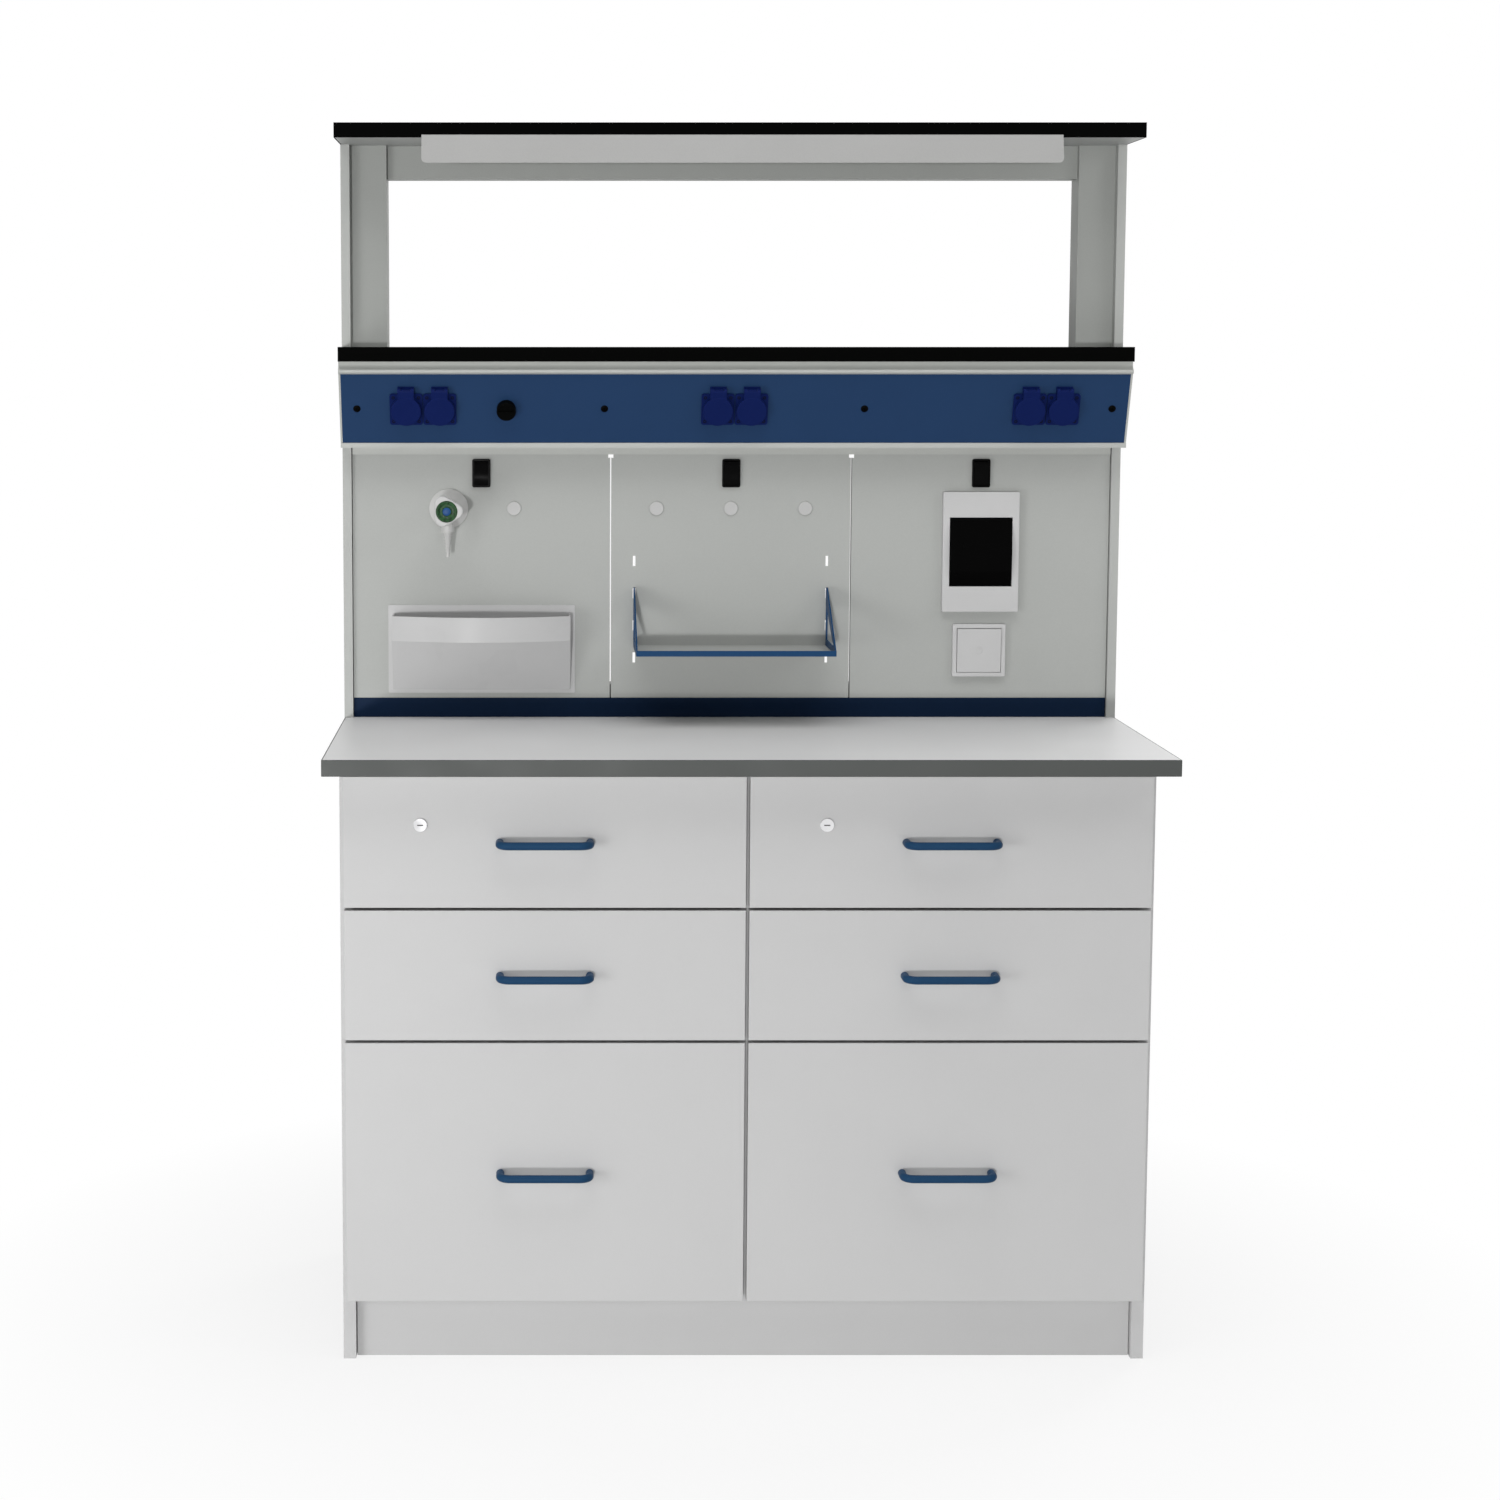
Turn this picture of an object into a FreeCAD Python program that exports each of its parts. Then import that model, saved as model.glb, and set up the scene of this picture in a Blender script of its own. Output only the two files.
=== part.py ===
import FreeCAD, Part
import math
import os

# Laboratory table: a six-drawer base cabinet, a laminate worktop and a service superstructure
# with two shelves, a lamp, a sloping socket casing and fitted service panels. Millimetres, +Z up.
# The origin lies on the floor under the middle of the table, +X to the right and +Y to the back.

os.makedirs("parts", exist_ok=True)
V = FreeCAD.Vector

# Overall sizes
TABLE_WIDTH = 1200.0
TABLE_DEPTH = 600.0
WORKTOP_HEIGHT = 887.5
WORKTOP_THICKNESS = 23.5
EDGE_BAND = 2.0
EDGE_ROUND = 0.8

# Base cabinet
BOARD = 18.0
WORKTOP_SIDE_OVERHANG = 20.0
CABINET_SETBACK = 72.0
CABINET_BACK_SETBACK = 20.0
BACK_BOARD = 8.0
PLINTH_HEIGHT = 96.0
PLINTH_SETBACK = 14.0
PLINTH_END_GAP = 1.0
TOP_RAIL_HEIGHT = 58.0

# Drawers: the lowest row is two modules tall
ROW_MODULES = (2, 1, 1)
ROW_NAMES = ("bottom", "middle", "top")
COLUMN_NAMES = ("left", "right")
FRONT_THICKNESS = 18.0
FRONT_STANDOFF = 1.0
FRONT_FLOOR = 92.0
FRONT_TOP_GAP = 8.0
FRONT_REVEAL = 6.5
ROW_GAP = 4.0
COLUMN_GAP = 5.0
BOX_BOARD = 16.0
BOX_DEPTH = 450.0
BOX_LIFT = 36.0
BOX_RAIL_CLEARANCE = 6.0
BOX_BOTTOM = 6.0
BOX_BOTTOM_LIFT = 10.0
BOX_GROOVE = 5.0

# Roller runners beside the drawer boxes
RUNNER_SPACE = 12.5
RUNNER_SHEET = 1.5
RUNNER_LENGTH = 450.0
RUNNER_PLAY = 0.3
RUNNER_SIDE_PLAY = 1.0
RUNNER_HEADROOM = 2.2
RUNNER_SHELF = 12.0
ROLLER_RADIUS = 10.0
ROLLER_RISE = 2.0
ROLLER_INSET = 13.0

# Handles and drawer locks
HANDLE_CENTRES = 128.0
HANDLE_RADIUS = 5.75
HANDLE_REACH = 31.0
HANDLE_BEND = 15.0
LOCK_FROM_EDGE = 109.0
LOCK_RAIL_CLEARANCE = 19.0
LOCK_FLANGE_RADIUS = 10.0
LOCK_FLANGE = 2.0
LOCK_RADIUS = 8.0
LOCK_FACE_GAP = 0.2
LOCK_TAIL_RADIUS = 5.0
KEY_SLOT = (9.0, 1.8, 1.5)
CAM_WIDTH = 14.0
CAM_THICKNESS = 3.0
CAM_GAP = 0.6
CAM_OVERLAP = 21.0
TURN_FIT = 0.05

# Uprights, posts, rails and shelves
UPRIGHT_THICKNESS = 13.5
UPRIGHT_DEPTH = 135.0
POST_WIDTH = 55.5
POST_DEPTH = 59.0
POST_SETBACK = 21.0
TUBE_WALL = 2.0
CROSS_RAIL_HEIGHT = 50.0
CROSS_RAIL_DEPTH = 40.0
TOP_RAIL_SETBACK = 14.0
SHELF_THICKNESS = 22.0
MIDDLE_SHELF_RISE = 573.5
MIDDLE_SHELF_DEPTH = 224.0
TOP_SHELF_RISE = 902.5
TOP_SHELF_DEPTH = 272.0
SHELF_FIT = 0.3

# Lamp under the top shelf
LAMP_LENGTH = 936.0
LAMP_HEIGHT = 41.0
LAMP_FORWARD = 50.0
LAMP_LEAN = 10.0
LAMP_DEPTH = 122.0
LAMP_WALL = 2.0
LAMP_CORNER = 7.0
LAMP_BACK_RISE = 14.0
DIFFUSER_MARGIN = 14.0
DIFFUSER_THICKNESS = 3.0

# Sloping service casing under the middle shelf
CASING_WALL = 3.0
CASING_FRONT = 78.0
MOULDING_HEIGHT = 19.0
COVE_DEPTH = 1.5
BEAD_REACH = 6.0
BEAD_HEIGHT = 6.6
SLOPE_START = 78.5
SLOPE_RUN = 41.0
SLOPE_DROP = 104.3
SERVICE_SHEET = 2.0
SEAT_LEDGE = 10.0
LIP_HEIGHT = 7.7
LIP_REACH = 1.5
CASING_FLANGE = 11.5
CASING_FLANGE_REACH = 5.0
CASING_FLANGE_SHEET = 2.0
CASING_END_GAP = 1.5

# Flap sockets on the sloping panel
SOCKET_END_INSET = 127.0
SOCKET_PITCH = 51.0
SOCKET_FLANGE = 50.0
SOCKET_FLANGE_THICKNESS = 4.0
SOCKET_CORNER = 4.0
SOCKET_RIM_RADIUS = 22.5
SOCKET_RIM_HEIGHT = 9.0
SOCKET_WELL_RADIUS = 19.5
SOCKET_WELL_DEPTH = 17.5
SOCKET_FLOOR = 3.0
SOCKET_BODY_RADIUS = 21.5
SOCKET_FIT = 0.25
CONTACT_RADIUS = 2.5
CONTACT_SPACING = 19.0
HINGE_RISE = 31.0
HINGE_STANDOFF = 8.2
HINGE_WIDTH = 25.0
HINGE_CHEEK = 5.0
HINGE_RADIUS = 5.0
HINGE_BARREL_RADIUS = 3.3
HINGE_STEM = 5.0
HINGE_PIN_RADIUS = 1.5
HINGE_GAP = 0.3
HINGE_CURL = 30.0
LID_RADIUS = 23.0
LID_THICKNESS = 4.2
LID_GAP = 0.3
LID_ROUND = 1.4

# Rotary light switch on the sloping panel
LIGHT_KNOB_END_INSET = 253.4
LIGHT_KNOB_RADIUS = 14.5
LIGHT_KNOB_HEIGHT = 14.0
LIGHT_KNOB_STEP = 3.0
LIGHT_KNOB_RIM = 2.5
LIGHT_KNOB_GAP = 0.4
LIGHT_SHAFT_RADIUS = 3.0
LIGHT_SHAFT_LENGTH = 14.0

# Infill panels and splash riser
PANEL_SETBACK = 8.0
PANEL_SHEET = 1.5
PANEL_GAP = 2.0
PANEL_END_GAP = 1.0
CENTRE_PANEL_WIDTH = 370.0
RISER_HEIGHT = 30.0
RISER_GAP = 0.5
PANEL_TOP_OVERLAP = 20.0
RELIEF = (8.0, 5.5)
SLOT_WIDTH = 4.0
SLOT_HEIGHT = 16.0
SLOT_PITCH = 50.2
SLOT_ROWS = 4
SLOT_SPREAD = 299.0
SLOT_TOP_DROP = 307.5

# Rocker switches in the infill panels
ROCKER_DROP = 171.5
BEZEL_WIDTH = 28.0
BEZEL_HEIGHT = 43.8
BEZEL_PROUD = 5.0
BEZEL_CORNER = 3.0
BEZEL_RIM = 3.0
BEZEL_DEPTH = 14.0
BEZEL_FLOOR = 2.0
BEZEL_SLEEVE = 1.2
CUTOUT_FIT = 0.5
ROCKER_GAP = 0.3
ROCKER_PIVOT = 2.0
ROCKER_TOP = 8.0
ROCKER_DISH = 2.5
ROCKER_UNDER = 3.0
ROCKER_KEEL = 6.0
ROCKER_TILT = 6.0
PIVOT_RADIUS = 1.5
PIVOT_REACH = 1.2
PIVOT_END_GAP = 0.3

# Blanking plugs and valve
FITTING_DROP = 226.0
FITTING_OFFSET = 50.5
PLUG_SPREAD = 115.0
PLUG_RADIUS = 11.0
PLUG_PROUD = 2.5
PLUG_CHAMFER = 0.8
PLUG_STEM_RADIUS = 8.7
PLUG_STEM_LENGTH = 9.0
PLUG_FIT = 0.25
ROSETTE_RADIUS = 30.0
ROSETTE_EDGE = 3.0
ROSETTE_HEIGHT = 13.0
ROSETTE_NECK = 16.0
VALVE_BODY_RADIUS = 12.0
VALVE_BODY_LENGTH = 70.0
VALVE_BODY_FIT = 0.3
VALVE_OUTLET = 50.0
VALVE_BONNET_RADIUS = 14.5
VALVE_BONNET_LENGTH = 12.0
OUTLET_NECK_RADIUS = 8.5
OUTLET_COLLAR_RADIUS = 10.25
OUTLET_COLLAR_TOP = 23.0
OUTLET_COLLAR_HEIGHT = 10.5
NOZZLE_LENGTH = 38.5
NOZZLE_RADIUS = 6.85
NOZZLE_TIP_RADIUS = 2.6
NOZZLE_BARBS = 7
NOZZLE_BARB_STEP = 1.0
NOZZLE_BORE = 1.6
KNOB_LOBE_RADIUS = 12.0
KNOB_LOBE_OFFSET = 13.3
KNOB_THICKNESS = 20.0
KNOB_ROUND = 3.0
KNOB_DISC_RADIUS = 16.6
KNOB_DISC_DEPTH = 0.8
KNOB_HUB_RADIUS = 10.0
KNOB_HUB_LENGTH = 6.5
KNOB_HUB_GAP = 0.5
SPINDLE_RADIUS = 4.0
SPINDLE_LENGTH = 14.0

# Moulded wall pocket
POCKET_DROP = 444.5
POCKET_WIDTH = 290.0
POCKET_HEIGHT = 137.0
POCKET_FLANGE = 2.5
POCKET_CORNER = 2.0
POCKET_WALL = 2.5
POCKET_SIDE_MARGIN = 7.4
POCKET_TOP_MARGIN = 14.0
POCKET_BOTTOM_MARGIN = 6.0
POCKET_FACET_DROP = 38.0
POCKET_END_REACH = 40.0
POCKET_MID_REACH = 70.0
POCKET_FOOT_END = 6.0
POCKET_FOOT_MID = 14.0

# Hook-in bracket shelf
BRACKET_SHEET = 2.0
BRACKET_REACH = 150.0
BRACKET_TOP = 9.0
BRACKET_STRAP = 12.0
BRACKET_BACK = 12.0
BRACKET_HEAD = 30.0
BRACKET_NOSE = 8.5
TRAY_BELOW_HOOK = 31.0
TRAY_SHEET = 2.0
TRAY_LIP = 6.5
HOOK_HEIGHT = 9.0
HOOK_DROP = 5.0
HOOK_THICKNESS = 2.5
HOOK_GAP = 0.3

# Breaker box
BREAKER_DROP = 292.9
BREAKER_WIDTH = 118.0
BREAKER_HEIGHT = 186.0
BREAKER_PROUD = 12.0
BREAKER_CORNER = 2.0
BREAKER_BOX_WIDTH = 106.0
BREAKER_BOX_HEIGHT = 130.0
BREAKER_BOX_DEPTH = 52.0
BREAKER_BOX_WALL = 2.5
DOOR_WIDTH = 95.0
DOOR_HEIGHT = 105.0
DOOR_GAP = 1.0
DOOR_BULGE = 9.0
DOOR_SHEET = 2.5
DOOR_EDGE = 10.0
DOOR_HINGE_INSET = 3.0
DOOR_HINGE_STANDOFF = 9.5
DOOR_KNUCKLE_RADIUS = 2.8
DOOR_PIN_RADIUS = 2.0
BREAKER_COUNT = 4
BREAKER_PITCH = 18.0
BREAKER_SIDE_GAP = 0.5
BREAKER_BODY_HEIGHT = 85.0
BREAKER_BODY_DEPTH = 30.0
BREAKER_NOSE_HEIGHT = 45.0
BREAKER_NOSE_DEPTH = 50.0
TOGGLE_WIDTH = 9.0
TOGGLE_HEIGHT = 10.0
TOGGLE_REACH = 7.0
TOGGLE_RISE = 4.0

# Wall switch under the breaker box
WALL_SWITCH_DROP = 446.1
WALL_SWITCH_SIZE = 82.0
WALL_SWITCH_PROUD = 9.0
WALL_SWITCH_CORNER = 2.0
WALL_SWITCH_RIM = 6.3
WALL_SWITCH_FLOOR = 2.0
WALL_SWITCH_BACK_RADIUS = 28.0
WALL_SWITCH_BACK_DEPTH = 22.0
KEY_GAP = 0.7
KEY_TOP = 11.5
KEY_UNDER = 4.0
KEY_KEEL = 1.4
KEY_PIVOT = 6.0
KEY_TILT = 3.0
KEY_DIMPLE_RADIUS = 5.5
KEY_DIMPLE_DEPTH = 1.0

# Planes and heights that follow from the sizes above
half_width = TABLE_WIDTH / 2
front_y = -TABLE_DEPTH / 2
back_y = TABLE_DEPTH / 2
worktop_underside = WORKTOP_HEIGHT - WORKTOP_THICKNESS
cabinet_half = half_width - WORKTOP_SIDE_OVERHANG
cabinet_front = front_y + CABINET_SETBACK
cabinet_back = back_y - CABINET_BACK_SETBACK
cabinet_inner_back = cabinet_back - BACK_BOARD
bay_inner = BOARD / 2
bay_outer = cabinet_half - BOARD
cabinet_floor_top = PLINTH_HEIGHT + BOARD
rail_underside = worktop_underside - TOP_RAIL_HEIGHT
front_back_y = cabinet_front - FRONT_STANDOFF
front_face_y = front_back_y - FRONT_THICKNESS
box_back_y = front_back_y + BOX_DEPTH
front_top_z = worktop_underside - FRONT_TOP_GAP
row_module = (front_top_z - FRONT_FLOOR + ROW_GAP) / sum(ROW_MODULES)
box_drop = front_top_z - (rail_underside - BOX_RAIL_CLEARANCE)
lock_z = rail_underside - LOCK_RAIL_CLEARANCE
cam_depth = FRONT_THICKNESS + FRONT_STANDOFF + BOARD + CAM_GAP

upright_front = back_y - UPRIGHT_DEPTH
upright_inner = half_width - UPRIGHT_THICKNESS
post_inner = upright_inner - POST_WIDTH
post_front = upright_front + POST_SETBACK
panel_face = upright_front + PANEL_SETBACK
middle_shelf_top = WORKTOP_HEIGHT + MIDDLE_SHELF_RISE
middle_shelf_underside = middle_shelf_top - SHELF_THICKNESS
top_shelf_top = WORKTOP_HEIGHT + TOP_SHELF_RISE
top_shelf_underside = top_shelf_top - SHELF_THICKNESS
middle_shelf_front = back_y - MIDDLE_SHELF_DEPTH
top_shelf_front = back_y - TOP_SHELF_DEPTH
side_panel_x = (CENTRE_PANEL_WIDTH / 2 + PANEL_GAP + upright_inner - PANEL_END_GAP) / 2

slope_angle = math.degrees(math.atan2(SLOPE_RUN, SLOPE_DROP))
slope_top = V(0, upright_front - SLOPE_START, middle_shelf_underside - MOULDING_HEIGHT)
slope_foot = slope_top + V(0, SLOPE_RUN, -SLOPE_DROP)
slope_up = (slope_top - slope_foot).normalize()
slope_out = V(1, 0, 0).cross(slope_up)
slope_centre = (slope_top + slope_foot) * 0.5
casing_underside = slope_foot.z - LIP_HEIGHT
socket_pair_x = half_width - SOCKET_END_INSET
light_knob_x = LIGHT_KNOB_END_INSET - half_width

tray_hook_z = middle_shelf_underside - SLOT_TOP_DROP - 2 * SLOT_PITCH
tray_underside = tray_hook_z - TRAY_BELOW_HOOK - TRAY_SHEET


def block(x_span, y_span, z_span):
    """A box between the low and high values of each span."""
    size = [high - low for low, high in (x_span, y_span, z_span)]
    return Part.makeBox(*size, V(x_span[0], y_span[0], z_span[0]))


def mirrored(shape):
    """The same piece on the other side of the table's middle plane."""
    return shape.mirror(V(0, 0, 0), V(1, 0, 0))


def tube(x_span, y_span, z_span, open_axis):
    """A square tube whose bore runs along the open axis."""
    spans = [x_span, y_span, z_span]
    bore = [span if axis == open_axis else (span[0] + TUBE_WALL, span[1] - TUBE_WALL)
            for axis, span in enumerate(spans)]
    return block(*spans).cut(block(*bore))


def across(points, x_span):
    """A profile of (y, z) points carried along X."""
    outline = [V(x_span[0], y, z) for y, z in points]
    face = Part.Face(Part.makePolygon(outline + outline[:1]))
    return face.extrude(V(x_span[1] - x_span[0], 0, 0))


def turned(points):
    """A profile of (radius, z) points turned about the local Z axis."""
    outline = [V(radius, 0, z) for radius, z in points]
    face = Part.Face(Part.makePolygon(outline + outline[:1]))
    return face.revolve(V(0, 0, 0), V(0, 0, 1), 360)


def disc(radius, z_span, x=0.0, y=0.0):
    """An upright cylinder in a local frame."""
    return Part.makeCylinder(radius, z_span[1] - z_span[0], V(x, y, z_span[0]))


def bar_x(radius, length, y, z):
    """A round bar along X, centred on the local YZ plane."""
    return Part.makeCylinder(radius, length, V(-length / 2, y, z), V(1, 0, 0))


def plate(width, height, z_span, corner=0.0):
    """A centred plate in a local frame, with its upright corners rounded."""
    solid = block((-width / 2, width / 2), (-height / 2, height / 2), z_span)
    if corner == 0.0:
        return solid
    uprights = [edge for edge in solid.Edges if abs(edge.tangentAt(edge.FirstParameter).z) > 0.99]
    return solid.makeFillet(corner, uprights)


def moved(shape, x=0.0, y=0.0, z=0.0):
    """A copy shifted in its own frame."""
    return shape.translated(V(x, y, z))


def stood(shape, origin, tilt):
    """A piece drawn flat (X right, Y up, Z outwards) stood up on a face that leans by the tilt."""
    frame = FreeCAD.Placement(origin, FreeCAD.Rotation(V(1, 0, 0), 90 + tilt))
    return shape.transformed(frame.toMatrix())


def on_wall(shape, x, drop):
    """A flat-drawn piece on the infill panels, measured down from the middle shelf."""
    return stood(shape, V(x, panel_face, middle_shelf_underside - drop), 0.0)


def on_slope(shape, x):
    """A flat-drawn piece on the sloping service panel."""
    return stood(shape, slope_centre + V(x, 0, 0), slope_angle)


def save(name, *solids):
    """Write one piece, or a group of like pieces, under its own name."""
    Part.makeCompound(list(solids)).exportStep("parts/" + name + ".step")


def rounded_at(solid, radius, axis, value):
    """Round every edge that lies in one plane of a box-like solid."""
    edges = [edge for edge in solid.Edges
             if all(abs(vertex.Point[axis] - value) < 1e-6 for vertex in edge.Vertexes)]
    return solid.makeFillet(radius, edges)


# Base cabinet

def cabinet_sides():
    side = block((bay_outer, cabinet_half), (cabinet_front, cabinet_back), (0, worktop_underside))
    return side, mirrored(side)


def cabinet_top_rails():
    rails = []
    for y_low in (cabinet_front, cabinet_inner_back - BOARD):
        rail = block((bay_inner, bay_outer), (y_low, y_low + BOARD), (rail_underside, worktop_underside))
        rails += [rail, mirrored(rail)]
    return rails


def make_cabinet():
    depth = (cabinet_front, cabinet_inner_back)
    width = (-bay_outer, bay_outer)
    plinth_front = cabinet_front + PLINTH_SETBACK
    plinth_half = bay_outer - PLINTH_END_GAP
    save("cabinet_sides", *cabinet_sides())
    save("cabinet_divider", block((-bay_inner, bay_inner), depth, (cabinet_floor_top, worktop_underside)))
    save("cabinet_floor", block(width, depth, (PLINTH_HEIGHT, cabinet_floor_top)))
    save("cabinet_back", block(width, (cabinet_inner_back, cabinet_back), (PLINTH_HEIGHT, worktop_underside)))
    save("plinth_board", block((-plinth_half, plinth_half), (plinth_front, plinth_front + BOARD),
                               (0, PLINTH_HEIGHT)))
    save("cabinet_top_rails", *cabinet_top_rails())


# Worktop

def make_worktop():
    height = (worktop_underside, WORKTOP_HEIGHT)
    board_half = half_width - EDGE_BAND
    core = block((-board_half, board_half), (front_y + EDGE_BAND, back_y), height)
    band = block((-half_width, half_width), (front_y, back_y), height)
    corners = [edge for edge in band.Edges
               if abs(edge.tangentAt(edge.FirstParameter).z) > 0.99 and edge.CenterOfMass.y < 0]
    band = rounded_at(band.makeFillet(EDGE_BAND * 0.9, corners), EDGE_ROUND, 1, front_y)
    save("worktop", core)
    save("worktop_edge_band", band.cut(core))


# Drawers on roller runners

def column_spans(column):
    """The front's and the bay's X spans in a drawer column."""
    front = (COLUMN_GAP / 2, cabinet_half - FRONT_REVEAL)
    bay = (bay_inner, bay_outer)
    if column == "left":
        return (-front[1], -front[0]), (-bay[1], -bay[0])
    return front, bay


def row_span(row):
    """The front's Z span in a drawer row."""
    below = sum(ROW_MODULES[:row])
    low = FRONT_FLOOR + below * row_module
    return low, low + ROW_MODULES[row] * row_module - ROW_GAP


def runner_levels(row):
    """Box underside, roller centre and track underside in a row."""
    box_low = row_span(row)[0] + BOX_LIFT
    roller_z = box_low + ROLLER_RISE
    return box_low, roller_z, roller_z + ROLLER_RADIUS + RUNNER_PLAY


def from_wall(wall, inwards, near, far):
    """An X span measured from a bay wall towards its drawer."""
    return tuple(sorted((wall + inwards * near, wall + inwards * far)))


def roller(wall, inwards, near, far, y, z):
    x_low, x_high = from_wall(wall, inwards, near, far)
    return Part.makeCylinder(ROLLER_RADIUS, x_high - x_low, V(x_low, y, z), V(1, 0, 0))


def cabinet_runner(wall, inwards, row):
    """The fixed channel, open to the drawer, and its front roller."""
    roller_z, track = runner_levels(row)[1:]
    flange = RUNNER_SPACE - RUNNER_SHEET - RUNNER_SIDE_PLAY
    low = roller_z - ROLLER_RADIUS - RUNNER_PLAY
    high = track + RUNNER_SHEET + RUNNER_HEADROOM
    length = (cabinet_front + FRONT_STANDOFF, cabinet_front + FRONT_STANDOFF + RUNNER_LENGTH)
    channel = block(from_wall(wall, inwards, 0, flange), length, (low - RUNNER_SHEET, high + RUNNER_SHEET))
    inside = block(from_wall(wall, inwards, RUNNER_SHEET, flange), length, (low, high))
    wheel = roller(wall, inwards, RUNNER_SHEET, flange, cabinet_front + ROLLER_INSET, roller_z)
    return channel.cut(inside), wheel


def drawer_runner(wall, inwards, row):
    """The drawer's own angle with its track, and its rear roller."""
    box_low, roller_z, track = runner_levels(row)
    length = (front_back_y, box_back_y)
    leg_near = RUNNER_SPACE - RUNNER_SHEET
    track_near = RUNNER_SHEET + RUNNER_SIDE_PLAY
    leg = block(from_wall(wall, inwards, leg_near, RUNNER_SPACE), length,
                (box_low - RUNNER_SHEET, track + RUNNER_SHEET))
    shelf = block(from_wall(wall, inwards, RUNNER_SPACE, RUNNER_SPACE + RUNNER_SHELF), length,
                  (box_low - RUNNER_SHEET, box_low))
    track_strip = block(from_wall(wall, inwards, track_near, leg_near), length,
                        (track, track + RUNNER_SHEET))
    wheel = roller(wall, inwards, track_near, leg_near, box_back_y - ROLLER_INSET, roller_z)
    return leg.fuse([shelf, track_strip]).removeSplitter(), wheel


def lock_place(column):
    """The lock's centre on the top drawer's front face."""
    return V(column_spans(column)[0][0] + LOCK_FROM_EDGE, front_face_y, lock_z)


def drawer_front(column, row):
    front_x = column_spans(column)[0]
    front = block(front_x, (front_face_y, front_back_y), row_span(row))
    front = rounded_at(front, EDGE_ROUND, 1, front_face_y)
    if ROW_NAMES[row] == "top":
        bore = disc(LOCK_RADIUS + TURN_FIT, (-2 * FRONT_THICKNESS, FRONT_THICKNESS))
        front = front.cut(stood(bore, lock_place(column), 0.0))
    return front


def drawer_box(column, row):
    """Grooved sides, a back between them and a bottom let into the grooves."""
    bay = column_spans(column)[1]
    box_x = (bay[0] + RUNNER_SPACE, bay[1] - RUNNER_SPACE)
    inner_x = (box_x[0] + BOX_BOARD, box_x[1] - BOX_BOARD)
    box_low = row_span(row)[0] + BOX_LIFT
    height = (box_low, row_span(row)[1] - box_drop)
    depth = (front_back_y, box_back_y)
    bottom_z = (box_low + BOX_BOTTOM_LIFT, box_low + BOX_BOTTOM_LIFT + BOX_BOTTOM)
    bottom = block((inner_x[0] - BOX_GROOVE, inner_x[1] + BOX_GROOVE), (depth[0], depth[1] - BOX_BOARD), bottom_z)
    left = block((box_x[0], inner_x[0]), depth, height).cut(bottom)
    right = block((inner_x[1], box_x[1]), depth, height).cut(bottom)
    back = block(inner_x, (depth[1] - BOX_BOARD, depth[1]), height)
    return left, right, back, bottom


def handle(column, row):
    """A round bar bent to a shallow bow, its ends square on the front."""
    half = HANDLE_CENTRES / 2
    turn = HANDLE_BEND * (1 - math.sqrt(0.5))
    leg = V(0, 0, HANDLE_REACH - HANDLE_BEND)
    left_foot, right_foot = V(-half, 0, 0), V(half, 0, 0)
    left_bar, right_bar = V(HANDLE_BEND - half, 0, HANDLE_REACH), V(half - HANDLE_BEND, 0, HANDLE_REACH)
    left_mid = V(turn - half, 0, HANDLE_REACH - turn)
    right_mid = V(half - turn, 0, HANDLE_REACH - turn)
    path = Part.Wire([
        Part.LineSegment(left_foot, left_foot + leg).toShape(),
        Part.Arc(left_foot + leg, left_mid, left_bar).toShape(),
        Part.LineSegment(left_bar, right_bar).toShape(),
        Part.Arc(right_bar, right_mid, right_foot + leg).toShape(),
        Part.LineSegment(right_foot + leg, right_foot).toShape(),
    ])
    section = Part.Wire(Part.makeCircle(HANDLE_RADIUS, left_foot, V(0, 0, 1)))
    bow = path.makePipeShell([section], True, False)
    front_x = column_spans(column)[0]
    place = V(sum(front_x) / 2, front_face_y, sum(row_span(row)) / 2)
    return stood(bow, place, 0.0)


def lock_barrel(column):
    """Key-slotted barrel with its tail and cam; the cam lies sideways when unlocked."""
    reach = LOCK_RAIL_CLEARANCE + CAM_OVERLAP
    face = LOCK_FACE_GAP + LOCK_FLANGE
    tail_end = cam_depth + CAM_THICKNESS
    barrel = turned([(0, -tail_end), (LOCK_TAIL_RADIUS, -tail_end), (LOCK_TAIL_RADIUS, 6 - cam_depth),
                     (LOCK_RADIUS, 6 - cam_depth), (LOCK_RADIUS, LOCK_FACE_GAP),
                     (LOCK_FLANGE_RADIUS, LOCK_FACE_GAP), (LOCK_FLANGE_RADIUS, face - 0.6),
                     (LOCK_FLANGE_RADIUS - 0.6, face), (0, face)])
    cam_z = (-tail_end, -cam_depth)
    cam = block((0, reach - CAM_WIDTH / 2), (-CAM_WIDTH / 2, CAM_WIDTH / 2), cam_z)
    cam = cam.fuse([disc(CAM_WIDTH / 2, cam_z), disc(CAM_WIDTH / 2, cam_z, reach - CAM_WIDTH / 2)])
    slot = plate(KEY_SLOT[0], KEY_SLOT[1], (face - KEY_SLOT[2], face))
    return stood(barrel.fuse(cam).cut(slot).removeSplitter(), lock_place(column), 0.0)


def make_drawers():
    runners = []
    for column in COLUMN_NAMES:
        bay = column_spans(column)[1]
        for row, row_name in enumerate(ROW_NAMES):
            place = row_name + "_" + column
            pieces = [drawer_front(column, row), *drawer_box(column, row)]
            for wall, inwards in ((bay[0], 1), (bay[1], -1)):
                pieces += drawer_runner(wall, inwards, row)
                runners += cabinet_runner(wall, inwards, row)
            save("drawer_" + place, *pieces)
            save("handle_" + place, handle(column, row))
        save("lock_barrel_" + column, lock_barrel(column))
    save("cabinet_runners", *runners)


# Uprights, posts, rails and shelves

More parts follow.
